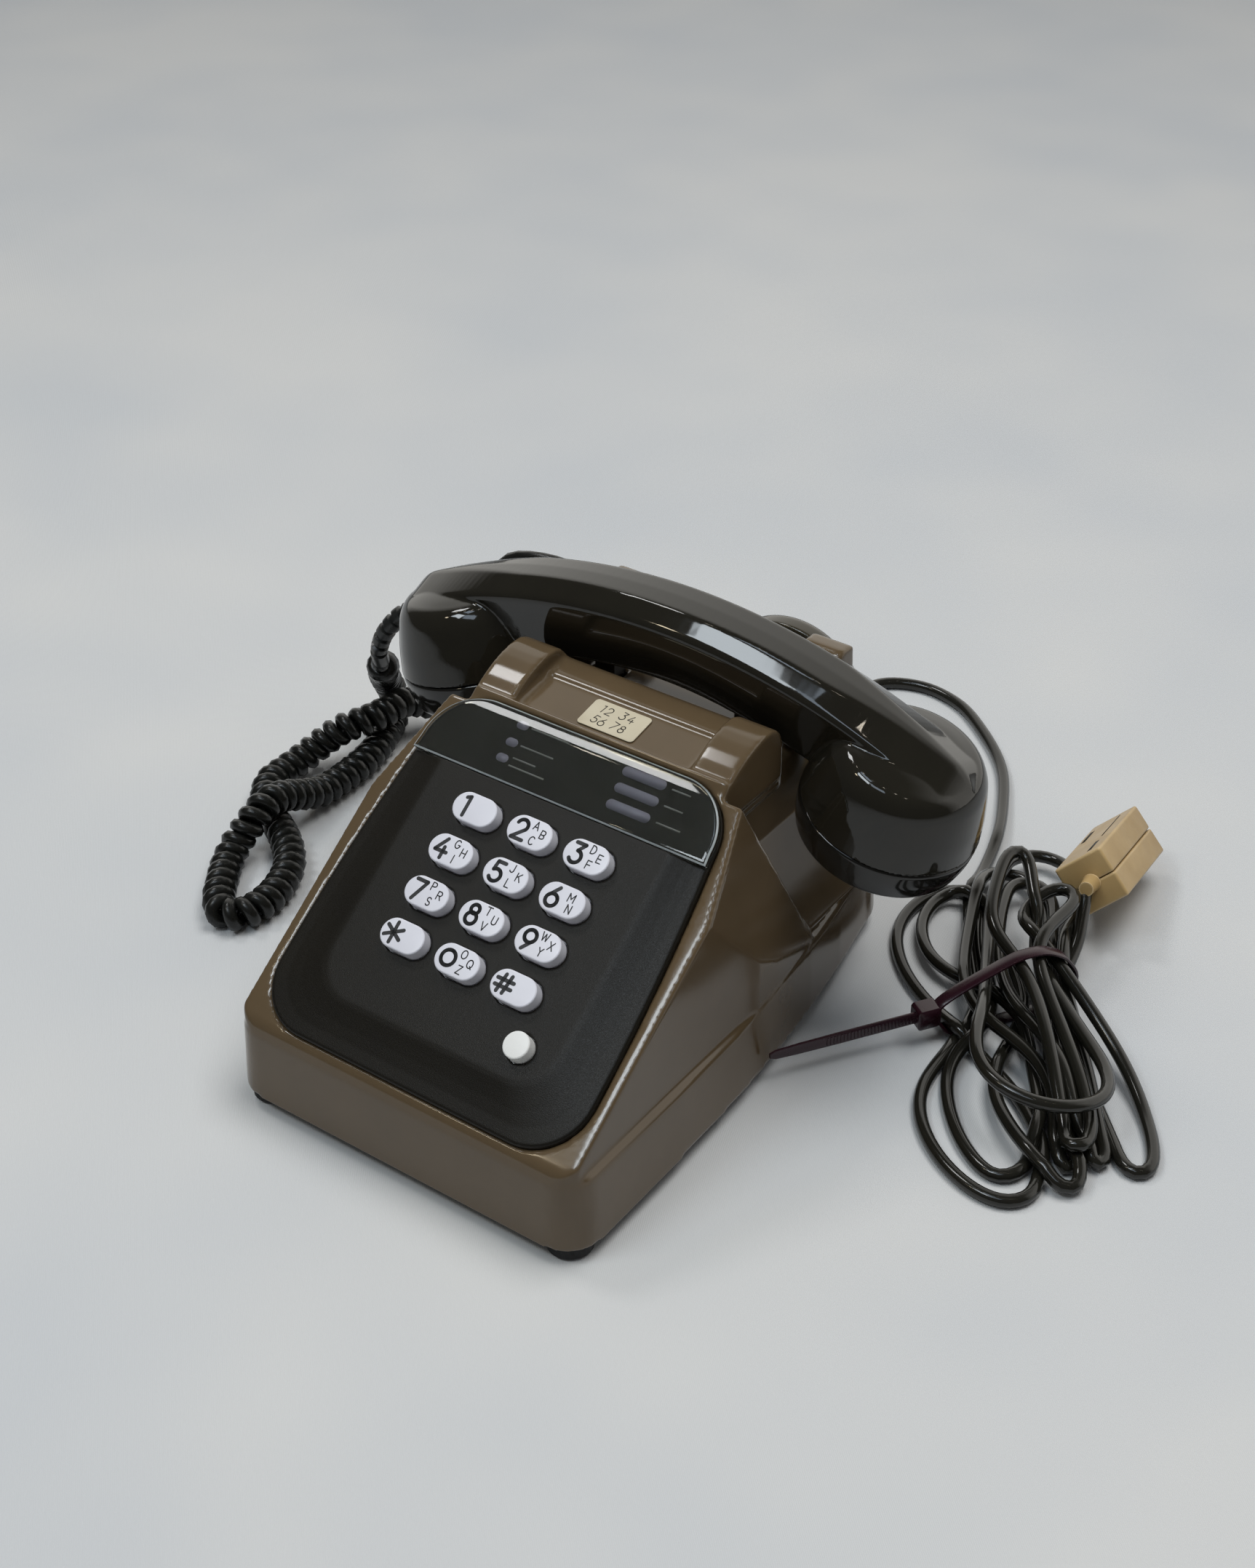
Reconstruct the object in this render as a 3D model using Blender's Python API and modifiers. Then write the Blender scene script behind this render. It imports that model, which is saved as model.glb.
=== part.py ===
"""A pushbutton desk telephone with a cradle handset and a second earpiece.

Frame: metres, +Z up, +X to the telephone's right, the keypad faces -Y.
The origin is on the table under the middle of the base.
"""
import math

import bmesh
import bpy
from mathutils import Matrix, Vector

MM = 0.001
GAP = 0.3 * MM                      # between neighbouring pieces
WALL = 3.0 * MM                     # moulded walls of the case

# Base
BASE_WIDTH = 140 * MM               # across the front half
BASE_DEPTH = 212 * MM
SIDE_CURVE = 0.78                   # how fast the sides draw in towards the rear, 1/m
SIDE_STRAIGHT_TO = -50 * MM         # y where the sides start to draw in
FRONT_CORNER = 12 * MM
REAR_CORNER = 20 * MM
CORNER_STEPS = 7
FOOT_HEIGHT = 5.3 * MM
FOOT_RADIUS = 7.5 * MM
FOOT_INSET = 10 * MM                # the feet's middles from the base's edges
REAR_FOOT_INSET = 18 * MM
SKIRT_TOP = 33.2 * MM               # height of the ledge round the base
SKIRT_DRAFT = 1.2 * MM
LEDGE = 4.5 * MM                    # how far the upper body stands in from the skirt
FLOOR_THICKNESS = 2.4 * MM

# Keypad slope
SLOPE = math.radians(35.04)
KEYPAD_Y = -53.2 * MM               # middle of the keypad, at the key tops
KEYPAD_Z = 80.0 * MM
PLATE_PLATEAU = -4.1 * MM           # heights over the key tops, square to the slope
PLATE_RIM = -6.5 * MM
PLATE_BOTTOM = -9.2 * MM
PLATE_WALL = 2.5 * MM
CASE_SLOPE = -8.0 * MM              # the case's sloping face round the plate
PLATE_CURVE = 0.68                  # how fast the plate's sides draw in upwards, 1/m
PLATE_FOOT = -64.8 * MM             # bottom and top edges along the slope
PLATE_HEAD = 60.5 * MM
PLATE_CORNER = 20 * MM
WINDOW_FOOT = 35.4 * MM             # where the clear window starts
WINDOW_THICKNESS = 1.8 * MM
CARD_THICKNESS = 0.5 * MM
PLATEAU_HALF_WIDTH = 44.2 * MM
PLATEAU_FOOT = -47.5 * MM

# Keys
KEY_PITCH_U = 21.85 * MM
KEY_PITCH_V = 15.4 * MM
KEY_LENGTH = 16.4 * MM
KEY_WIDTH = 10.0 * MM
KEY_TRAVEL = 2.8 * MM
KEY_FLANGE = 1.2 * MM
RECALL_DIAMETER = 9.0 * MM
RECALL_U = 32.2 * MM
RECALL_V = -38.3 * MM
MAT_THICKNESS = 1.2 * MM
BOARD_THICKNESS = 1.6 * MM

# Upper body
WING_INSET = 3.5 * MM               # how far the wedge stands in from the base at each side
WING_HALF_WIDTH = BASE_WIDTH / 2 - WING_INSET
PLATE_BAND = 4.5 * MM               # strip of case at each side of the keypad plate
PLATE_HALF_WIDTH = WING_HALF_WIDTH - PLATE_BAND
FRONT_ROLL = 7.0 * MM               # radius where the front face rolls into the slope
FRONT_FACE = -104.4 * MM            # y of the wedge's front face
WING_TURN = (66.5 * MM, -32.2 * MM, 84.9 * MM)      # a place on each side's tapering facet
WING_TAPER = (1.0, 0.1825, 0.1629)                  # the facet's outward direction
WING_BACK_TOP = (-1.1 * MM, 106.7 * MM)     # y, z of the wing's rear edge at the slope
WING_BACK_FOOT = (38.8 * MM, 33.0 * MM)
NECK_HALF_WIDTH = 48.0 * MM
NECK_REAR = 88.0 * MM
NECK_SHOULDER = 76.0 * MM           # height where the neck's walls turn upright
TRAY_FRONT = (4.1 * MM, 107.5 * MM)
TRAY_BACK = (21.9 * MM, 110.8 * MM)
TRAY_HALF_WIDTH = 33.6 * MM
TROUGH_FLOOR = 100.0 * MM
TROUGH_FRONT = 34.0 * MM
TROUGH_BACK = 68.0 * MM
HORN_INNER = 34.5 * MM
HORN_OUTER = 50.0 * MM
HORN_TOP = 117.3 * MM
NUB_INNER = 31.5 * MM
NUB_OUTER = 47.0 * MM
NUB_BACK = 82.5 * MM
NUB_TOP = 121.3 * MM
SADDLE_INNER = 36.0 * MM
SADDLE_OUTER = 45.0 * MM

# Handset
CUP_X = 82.2 * MM                   # middle of each cup's seam
CUP_Y = 47.85 * MM
CUP_Z = 89.3 * MM
CUP_TILT = math.radians(16.5)
CUP_RADIUS = 30.2 * MM
CUP_SIDE = ((0, 29.5), (8, 29.0), (15, 27.9), (21, 26.7), (24.2, 25.3), (25.6, 22.8),
            (27.6, 14), (29.2, 6.5), (30.2, 0))         # mm, radius and height over the seam
CAP_DEPTH = 15.0 * MM
CAPSULE_RADIUS = 24.0 * MM
CAPSULE_TOP = 11.0 * MM
HANDLE_TOP = 139.0 * MM
HANDLE_ARC = 228.0 * MM             # radius of the spine seen from the front
HANDLE_UNDERSIDE = 110.0 * MM
HANDLE_UNDER_CURVE = 2.2            # how fast the underside falls to the ends, 1/m
HANDLE_END = 112.2 * MM
HANDLE_ROLL = 3.0 * MM              # how far the spine rolls down at its ends
LIFT_TRAVEL = 120.0 * MM

# Hook switch
PLUNGER_X = 28.0 * MM
PLUNGER_SIZE = 8.0 * MM
PLUNGER_TRAVEL = 4.8 * MM
HOOK_PIVOT_Y = 76.0 * MM
HOOK_PIVOT_Z = 87.0 * MM

# Second earpiece
EAR_X = 11.3 * MM
EAR_Z = 78.8 * MM
EAR_RADIUS = 29.0 * MM
EAR_BACK = 104.0 * MM
EAR_BAND = 7.0 * MM
EAR_CAP_DEPTH = 8.0 * MM
EAR_DOME = 7.0 * MM

# Cords
LINE_CORD = 4.6 * MM
EAR_CORD = 4.5 * MM
COIL_OUTER = 12.6 * MM
COIL_TAIL = 5.0 * MM
BOOT_DIAMETER = 8.0 * MM
GROMMET_RADIUS = 5.0 * MM
GROMMET_Z = 16.0 * MM
LINE_CORD_X = 10.0 * MM
EAR_CORD_X = -29.0 * MM
HANDSET_CORD_X = -10.0 * MM

PARTS = {}


# ---------------------------------------------------------------- tools

def clear_scene():
    for item in list(bpy.data.objects):
        bpy.data.objects.remove(item, do_unlink=True)


def new_collection(name):
    collection = bpy.data.collections.new(name)
    bpy.context.scene.collection.children.link(collection)
    return collection


def material(name, rgb, roughness, metallic=0.0):
    """A Principled material from an sRGB colour given in 0..255."""
    made = bpy.data.materials.new(name)
    made.use_nodes = True
    shader = made.node_tree.nodes["Principled BSDF"]
    linear = [((channel / 255 + 0.055) / 1.055) ** 2.4 for channel in rgb]
    shader.inputs["Base Color"].default_value = (*linear, 1.0)
    shader.inputs["Roughness"].default_value = roughness
    shader.inputs["Metallic"].default_value = metallic
    made.diffuse_color = (*linear, 1.0)
    return made


def carry(name, where, names):
    """An empty on a joint's axis that holds the pieces that move on it."""
    pivot = bpy.data.objects.new(name, None)
    pivot.empty_display_size = 10 * MM
    pivot.location = where
    CUTTERS.objects.link(pivot)
    for piece in names:
        item = PARTS[piece]
        item.parent = pivot
        item.matrix_basis = Matrix.Translation(-Vector(where)) @ item.matrix_basis


def place(item, finish=None, smooth=True):
    """Link an object as a part with its finish, or as a cutter without one."""
    if finish is None:
        CUTTERS.objects.link(item)
        item.hide_render = True
        item.display_type = "WIRE"
        return item
    PHONE.objects.link(item)
    item.data.materials.append(finish)
    if smooth and item.type == "MESH":
        item.data.shade_smooth()
        item.data.set_sharp_from_angle(angle=math.radians(35))
    PARTS[item.name] = item
    return item


def from_bmesh(name, bm, frame=None, finish=None):
    bmesh.ops.recalc_face_normals(bm, faces=bm.faces)
    mesh = bpy.data.meshes.new(name)
    bm.to_mesh(mesh)
    bm.free()
    item = bpy.data.objects.new(name, mesh)
    if frame is not None:
        item.matrix_world = frame
    return place(item, finish)


def block(name, low, high, frame=None, finish=None):
    """A box between two opposite corners, in the given frame."""
    bm = bmesh.new()
    size = [b - a for a, b in zip(low, high)]
    middle = [(a + b) / 2 for a, b in zip(low, high)]
    bmesh.ops.create_cube(bm, size=1.0, matrix=Matrix.Translation(middle) @ Matrix.Diagonal((*size, 1)))
    return from_bmesh(name, bm, frame, finish)


def cylinder(name, radius, low, high, frame=None, finish=None, sides=24, top_radius=None):
    """A round bar or cone along the frame's z axis, from low to high."""
    bm = bmesh.new()
    bmesh.ops.create_cone(
        bm, cap_ends=True, segments=sides, radius1=radius, radius2=top_radius or radius,
        depth=high - low, matrix=Matrix.Translation((0, 0, (low + high) / 2)))
    return from_bmesh(name, bm, frame, finish)


def loft(name, sections, frame=None, finish=None, ring=False):
    """A solid through sections with equal point counts, capped unless it closes on itself."""
    bm = bmesh.new()
    rows = [[bm.verts.new(point) for point in section] for section in sections]
    count = len(rows[0])
    pairs = list(zip(rows, rows[1:]))
    if ring:
        pairs.append((rows[-1], rows[0]))
    for one, two in pairs:
        for i in range(count):
            j = (i + 1) % count
            bm.faces.new((one[i], one[j], two[j], two[i]))
    bmesh.ops.triangulate(bm, faces=bm.faces[:])
    if not ring:
        bm.faces.new(rows[0])
        bm.faces.new(rows[-1])
    return from_bmesh(name, bm, frame, finish)


def slab(name, outlines, low, high, frame=None, finish=None):
    """A flat outline, with further outlines as holes, between two heights of its frame."""
    curve = bpy.data.curves.new(name, "CURVE")
    curve.dimensions = "2D"
    curve.fill_mode = "BOTH"
    curve.extrude = (high - low) / 2
    for outline in outlines:
        spline = curve.splines.new("POLY")
        spline.points.add(len(outline) - 1)
        for point, (x, y) in zip(spline.points, outline):
            point.co = (x, y, 0, 1)
        spline.use_cyclic_u = True
    raw = bpy.data.objects.new(name + "_outline", curve)
    CUTTERS.objects.link(raw)
    bpy.context.view_layer.update()
    mesh = bpy.data.meshes.new_from_object(raw.evaluated_get(bpy.context.evaluated_depsgraph_get()))
    bpy.data.objects.remove(raw, do_unlink=True)
    bm = bmesh.new()
    bm.from_mesh(mesh)
    bmesh.ops.remove_doubles(bm, verts=bm.verts, dist=1e-7)
    bmesh.ops.translate(bm, verts=bm.verts, vec=(0, 0, (low + high) / 2))
    return from_bmesh(name, bm, frame, finish)


def turned(name, profile, frame=None, finish=None, steps=32):
    """A solid of revolution about the frame's z axis from (radius, z) points, top to bottom."""
    bm = bmesh.new()
    points = [bm.verts.new((radius, 0, z)) for radius, z in profile]
    for one, two in zip(points, points[1:]):
        bm.edges.new((one, two))
    mesh = bpy.data.meshes.new(name)
    bm.to_mesh(mesh)
    bm.free()
    item = bpy.data.objects.new(name, mesh)
    if frame is not None:
        item.matrix_world = frame
    screw = item.modifiers.new("turn", "SCREW")
    screw.axis = "Z"
    screw.steps = steps
    screw.render_steps = steps
    screw.use_merge_vertices = True
    screw.merge_threshold = 1e-5
    return place(item, finish)


def tube(name, points, diameter, finish, spacing=2.5):
    """A cord along a smooth curve through hand-chosen points, spacing diameters apart."""
    curve = bpy.data.curves.new(name, "CURVE")
    curve.dimensions = "3D"
    curve.bevel_depth = diameter / 2
    curve.bevel_resolution = 2
    curve.use_fill_caps = True
    path = smooth_path([Vector(point) * MM for point in points], diameter * spacing)
    spline = curve.splines.new("POLY")
    spline.points.add(len(path) - 1)
    for point, where in zip(spline.points, path):
        point.co = (*where, 1)
    item = bpy.data.objects.new(name, curve)
    return place(item, finish)


def smooth_path(points, spacing):
    """Evenly spaced points on a centripetal Catmull-Rom curve through the route's points."""
    ends = [2 * points[0] - points[1], *points, 2 * points[-1] - points[-2]]
    fine = []
    for a, b, c, d in zip(ends, ends[1:], ends[2:], ends[3:]):
        t1 = (b - a).length ** 0.5
        t2 = t1 + (c - b).length ** 0.5
        t3 = t2 + (d - c).length ** 0.5
        for step in range(16):
            t = t1 + (t2 - t1) * step / 16
            ab = a.lerp(b, t / t1)
            bc = b.lerp(c, (t - t1) / (t2 - t1))
            cd = c.lerp(d, (t - t2) / (t3 - t2))
            abc = ab.lerp(bc, t / t2)
            bcd = bc.lerp(cd, (t - t1) / (t3 - t1))
            fine.append(abc.lerp(bcd, (t - t1) / (t2 - t1)))
    fine.append(points[-1])
    lengths = [0.0]
    for one, two in zip(fine, fine[1:]):
        lengths.append(lengths[-1] + (two - one).length)
    count = max(2, round(lengths[-1] / spacing))
    path = []
    at = 0
    for k in range(count + 1):
        target = lengths[-1] * k / count
        while at < len(fine) - 2 and lengths[at + 1] < target:
            at += 1
        share = (target - lengths[at]) / (lengths[at + 1] - lengths[at])
        path.append(fine[at].lerp(fine[at + 1], min(1.0, share)))
    return path


def boolean(item, other, operation):
    modifier = item.modifiers.new(operation.lower(), "BOOLEAN")
    modifier.object = other
    modifier.operation = operation
    modifier.solver = "EXACT"


def cut(item, *others):
    for other in others:
        boolean(item, other, "DIFFERENCE")


def join(item, *others):
    for other in others:
        boolean(item, other, "UNION")


def rounded(item, width, segments=2, angle=30):
    modifier = item.modifiers.new("rounding", "BEVEL")
    modifier.width = width
    modifier.segments = segments
    modifier.limit_method = "ANGLE"
    modifier.angle_limit = math.radians(angle)
    return item


def arc(centre, radius, start, end, steps):
    """Points on a circle between two angles in degrees."""
    return [(centre[0] + radius * math.cos(math.radians(start + (end - start) * k / steps)),
             centre[1] + radius * math.sin(math.radians(start + (end - start) * k / steps)))
            for k in range(steps + 1)]


def mirrored(right):
    """A closed outline from its right half, listed from the front to the rear."""
    return right + [(-x, y) for x, y in reversed(right)]


def rounded_rectangle(low, high, radius, steps=4):
    (x0, y0), (x1, y1) = low, high
    return (arc((x1 - radius, y0 + radius), radius, -90, 0, steps)
            + arc((x1 - radius, y1 - radius), radius, 0, 90, steps)
            + arc((x0 + radius, y1 - radius), radius, 90, 180, steps)
            + arc((x0 + radius, y0 + radius), radius, 180, 270, steps))


def stadium(centre, length, width, steps=6):
    """A flat outline with round ends, long along x."""
    half = (length - width) / 2
    x, y = centre
    return (arc((x + half, y), width / 2, -90, 90, steps)
            + arc((x - half, y), width / 2, 90, 270, steps))


def at_height(outline, z):
    return [(x, y, z) for x, y in outline]


def side_frame():
    """A frame whose x, y and z run along the telephone's y, z and x."""
    return Matrix(((0, 0, 1, 0), (1, 0, 0, 0), (0, 1, 0, 0), (0, 0, 0, 1)))


def plate_frame():
    """x across the keypad, y up the slope, z out of it, zero at the middle of the key tops."""
    cosine, sine = math.cos(SLOPE), math.sin(SLOPE)
    return Matrix(((1, 0, 0, 0),
                   (0, cosine, -sine, KEYPAD_Y),
                   (0, sine, cosine, KEYPAD_Z),
                   (0, 0, 0, 1)))


def cup_frame(side):
    """z up a handset cup's axis, x outwards, zero in the seam; side is +1 right, -1 left."""
    cosine, sine = math.cos(CUP_TILT), math.sin(CUP_TILT)
    return Matrix(((side * cosine, 0, side * sine, side * CUP_X),
                   (0, side, 0, CUP_Y),
                   (-sine, 0, cosine, CUP_Z),
                   (0, 0, 0, 1)))


def rear_frame(x, y, z):
    """z along the telephone's +Y, for pieces turned about a front-to-back axis."""
    return Matrix(((1, 0, 0, x), (0, 0, 1, y), (0, -1, 0, z), (0, 0, 0, 1)))


# ---------------------------------------------------------------- base

def side_at(y):
    """The base's half width at a place along its depth."""
    return BASE_WIDTH / 2 - SIDE_CURVE * max(0.0, y - SIDE_STRAIGHT_TO) ** 2


def base_outline(inset):
    """The base seen from above, drawn in by inset."""
    front = -BASE_DEPTH / 2 + inset
    rear = BASE_DEPTH / 2 - inset
    near = max(2 * MM, FRONT_CORNER - inset)
    far = max(2 * MM, REAR_CORNER - inset)
    right = arc((BASE_WIDTH / 2 - inset - near, front + near), near, -90, 0, CORNER_STEPS)
    for y in (SIDE_STRAIGHT_TO, -15 * MM, 10 * MM, 35 * MM, 60 * MM):
        right.append((side_at(y) - inset, y))
    right += arc((side_at(rear - far) - inset - far, rear - far), far, 0, 90, CORNER_STEPS)
    return mirrored(right)


def neck_outline(half_width, front, rear, corner=10 * MM):
    """The neck seen from above, with as many points as the base's outline."""
    right = arc((half_width - corner, front + corner), corner, -90, 0, CORNER_STEPS)
    low, high = front + corner, rear - corner
    for share in (0.17, 0.33, 0.5, 0.67, 0.83):
        right.append((half_width, low + (high - low) * share))
    right += arc((half_width - corner, rear - corner), corner, 0, 90, CORNER_STEPS)
    return mirrored(right)


def slope_point(v, h):
    """y, z of a place on the keypad slope."""
    return (KEYPAD_Y + v * math.cos(SLOPE) - h * math.sin(SLOPE),
            KEYPAD_Z + v * math.sin(SLOPE) + h * math.cos(SLOPE))


def wing_outline(thickness):
    """The wedge under the keypad seen from the side, drawn in by thickness."""
    back = Vector((WING_BACK_FOOT[0] - WING_BACK_TOP[0], WING_BACK_FOOT[1] - WING_BACK_TOP[1])).normalized()
    inward = Vector((back.y, -back.x)) * thickness
    if inward.x > 0:
        inward = -inward
    slope_z = CASE_SLOPE - thickness
    front = FRONT_FACE + thickness
    head = slope_point(57.0 * MM - thickness * 1.5, slope_z)
    corner_v = (front - KEYPAD_Y + slope_z * math.sin(SLOPE)) / math.cos(SLOPE)
    radius = FRONT_ROLL - thickness
    setback = radius * math.tan((math.pi / 2 - SLOPE) / 2)
    corner_z = slope_point(corner_v, slope_z)[1]
    roll = arc((front + radius, corner_z - setback), radius, 90 + math.degrees(SLOPE), 180, 5)
    back_foot = (WING_BACK_FOOT[0] + inward.x, WING_BACK_FOOT[1] + inward.y)
    back_top = (WING_BACK_TOP[0] + inward.x, WING_BACK_TOP[1] + inward.y)
    floor_z = SKIRT_TOP - 5 * MM
    return [(front, floor_z), (back_foot[0], floor_z), back_foot, back_top, head] + roll


def trim_wing(wing, thickness):
    """Cut the wedge back to the base's corners and to the facets where its sides draw in."""
    plan = base_outline(SKIRT_DRAFT + 0.4 * MM + thickness)
    boolean(wing, loft("wing_plan", [at_height(plan, 20 * MM), at_height(plan, 125 * MM)]), "INTERSECT")
    for side in (1, -1):
        outward = Vector((side * WING_TAPER[0], WING_TAPER[1], WING_TAPER[2])).normalized()
        place_on = Vector((side * WING_TURN[0], WING_TURN[1], WING_TURN[2])) - outward * thickness
        turn = Vector((0, 0, 1)).rotation_difference(outward).to_matrix().to_4x4()
        size = 160 * MM
        cut(wing, block(f"wing_facet_{side}", (-size, -size, 0), (size, size, size / 4),
                        Matrix.Translation(place_on) @ turn))


def neck_solid(name, thickness, floor_z, roof_z):
    """The tapering body behind the wedge, drawn in by thickness."""
    half = NECK_HALF_WIDTH - thickness
    rear = NECK_REAR - thickness
    return loft(name, [
        at_height(base_outline(LEDGE + thickness), floor_z),
        at_height(base_outline(LEDGE + thickness), SKIRT_TOP - 1 * MM),
        at_height(neck_outline(NECK_HALF_WIDTH + 13 * MM - thickness, -86 * MM + thickness, rear), 37 * MM),
        at_height(neck_outline(half + 0.5 * MM, -36 * MM + thickness, rear), NECK_SHOULDER),
        at_height(neck_outline(half, -2 * MM + thickness, rear), roof_z),
    ])


def make_case(brown):
    """The moulded upper case: skirt, wedge, neck, horns and rear nubs as one open-bottomed shell."""
    case = loft("case_shell", [
        at_height(base_outline(0), FOOT_HEIGHT + GAP),
        at_height(base_outline(SKIRT_DRAFT), SKIRT_TOP - 2.4 * MM),
        at_height(base_outline(SKIRT_DRAFT + 0.8 * MM), SKIRT_TOP - 0.7 * MM),
        at_height(base_outline(SKIRT_DRAFT + 2.2 * MM), SKIRT_TOP),
    ], finish=brown)
    wing = slab("case_wing", [wing_outline(0)], -WING_HALF_WIDTH, WING_HALF_WIDTH, side_frame())
    trim_wing(wing, 0)
    rounded(wing, 2.2 * MM, 3, 20)
    neck = neck_solid("case_neck", 0, SKIRT_TOP - 5 * MM, TROUGH_FLOOR + 3 * MM)
    deck = slab("case_deck", [deck_outline()], -HORN_OUTER + 1 * MM, HORN_OUTER - 1 * MM, side_frame())
    join(case, wing, neck, deck)
    for side in (1, -1):
        horn = slab(f"case_horn_{side}", [horn_outline()], HORN_INNER, HORN_OUTER, side_frame())
        rounded(horn, 3.5 * MM, 2, 50)
        nub = slab(f"case_nub_{side}", [nub_outline()], NUB_INNER, NUB_OUTER, side_frame())
        rounded(nub, 1.6 * MM, 2, 50)
        for item in (horn, nub):
            if side < 0:
                item.location.x = -(item.name.startswith("case_horn") and HORN_INNER + HORN_OUTER
                                    or NUB_INNER + NUB_OUTER)
        join(case, horn, nub)
    cavity = loft("case_cavity", [
        at_height(base_outline(WALL), -1 * MM),
        at_height(base_outline(WALL + SKIRT_DRAFT), SKIRT_TOP - WALL),
    ])
    wing_cavity = slab("wing_cavity", [wing_outline(WALL)],
                       -WING_HALF_WIDTH + WALL, WING_HALF_WIDTH - WALL, side_frame())
    trim_wing(wing_cavity, WALL)
    neck_cavity = neck_solid("neck_cavity", WALL, SKIRT_TOP - 8 * MM, TROUGH_FLOOR - WALL)
    trough = block("trough_cut", (-80 * MM, TROUGH_FRONT, TROUGH_FLOOR), (80 * MM, TROUGH_BACK, 150 * MM))
    cut(case, trough, cavity, wing_cavity, neck_cavity)
    for side in (1, -1):
        low, high = sorted((side * SADDLE_INNER, side * SADDLE_OUTER))
        saddle = block(f"saddle_{side}", (low, CUP_Y - 6 * MM, TROUGH_FLOOR - 1.5 * MM),
                       (high, CUP_Y + 6 * MM, underside_at(SADDLE_OUTER) - GAP))
        ear_x = HOOK_BARREL + GAP
        low, high = sorted((side * ear_x, side * (ear_x + 2.5 * MM)))
        ear = block(f"hook_ear_{side}", (low, HOOK_PIVOT_Y - 4 * MM, HOOK_PIVOT_Z - 4 * MM),
                    (high, HOOK_PIVOT_Y + 4 * MM, TROUGH_FLOOR - 1.5 * MM))
        join(case, saddle, ear)
        hole = block(f"plunger_hole_{side}",
                     (side * PLUNGER_X - PLUNGER_SIZE / 2 - GAP, CUP_Y - PLUNGER_SIZE / 2 - GAP, 90 * MM),
                     (side * PLUNGER_X + PLUNGER_SIZE / 2 + GAP, CUP_Y + PLUNGER_SIZE / 2 + GAP, 110 * MM))
        cut(case, hole)
    frame = plate_frame()
    seat = slab("plate_seat", [plate_outline(-GAP)], PLATE_BOTTOM - GAP, 10 * MM, frame)
    opening_outline = rounded_rectangle((-39.5 * MM, -45.5 * MM), (39.5 * MM, 33 * MM), 3.5 * MM)
    opening = slab("keypad_opening", [opening_outline], -16 * MM, 0, frame)
    tray = slab("tray_recess", [rounded_rectangle((-TRAY_HALF_WIDTH, 0),
                                                  (TRAY_HALF_WIDTH, TRAY_LENGTH), 1.5 * MM, 2)],
                -0.2 * MM, 20 * MM, tray_frame())
    cut(case, seat, opening, tray)
    for name, x in GROMMETS.items():
        hole = cylinder(f"{name}_hole", GROMMET_RADIUS + GAP, -10 * MM, 10 * MM,
                        rear_frame(x, BASE_DEPTH / 2, GROMMET_Z), sides=16)
        cut(case, hole)
    return case


def deck_outline():
    """The top between the horns seen from the side: window frame, tray and the strip behind it."""
    window_head = slope_point(PLATE_HEAD - 2 * MM, CASE_SLOPE)
    frame_top = slope_point(PLATE_HEAD + 3 * MM, CASE_SLOPE + 1.5 * MM)
    return [(window_head[0], 92 * MM), window_head, frame_top,
            (TRAY_FRONT[0] - 1 * MM, TRAY_FRONT[1] + 0.6 * MM),
            (TRAY_BACK[0] + 1 * MM, TRAY_BACK[1] + 0.9 * MM),
            (TROUGH_FRONT - 4 * MM, TRAY_BACK[1] + 2.0 * MM),
            (TROUGH_FRONT - 1.5 * MM, TRAY_BACK[1] + 1.2 * MM), (TROUGH_FRONT, TRAY_BACK[1] - 2 * MM),
            (TROUGH_FRONT, 92 * MM)]


def horn_outline():
    """A front horn seen from the side, like a low fender."""
    front = TROUGH_FRONT - 37 * MM
    below = ((0, 21.3), (0.4, 11.3), (5, 7.9), (11, 4.3), (15, 2.5), (19, 1.2), (23, 0.3), (26.5, 0),
             (30, 0.3), (33, 1.6), (35.2, 4.0), (36.6, 8.3), (37, 21.3))
    return [(front + along * MM, HORN_TOP - drop * MM) for along, drop in below]


def nub_outline():
    """A rear nub seen from the side."""
    return [(TROUGH_BACK + 0.5 * MM, 98 * MM), (TROUGH_BACK + 4 * MM, NUB_TOP - 1.5 * MM),
            (TROUGH_BACK + 6.5 * MM, NUB_TOP), (NUB_BACK - 1.5 * MM, NUB_TOP - 0.6 * MM),
            (NUB_BACK, 98 * MM)]


TRAY_LENGTH = math.hypot(TRAY_BACK[0] - TRAY_FRONT[0], TRAY_BACK[1] - TRAY_FRONT[1])
HOOK_BARREL = 8.7 * MM
GROMMETS = {"line_cord_grommet": LINE_CORD_X, "earpiece_cord_grommet": EAR_CORD_X,
            "handset_cord_grommet": HANDSET_CORD_X}


def tray_frame():
    """x across the tray, y back along it, z out of it, zero at its front edge."""
    angle = math.atan2(TRAY_BACK[1] - TRAY_FRONT[1], TRAY_BACK[0] - TRAY_FRONT[0])
    return Matrix.Translation((0, *TRAY_FRONT)) @ Matrix.Rotation(angle, 4, "X")


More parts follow.
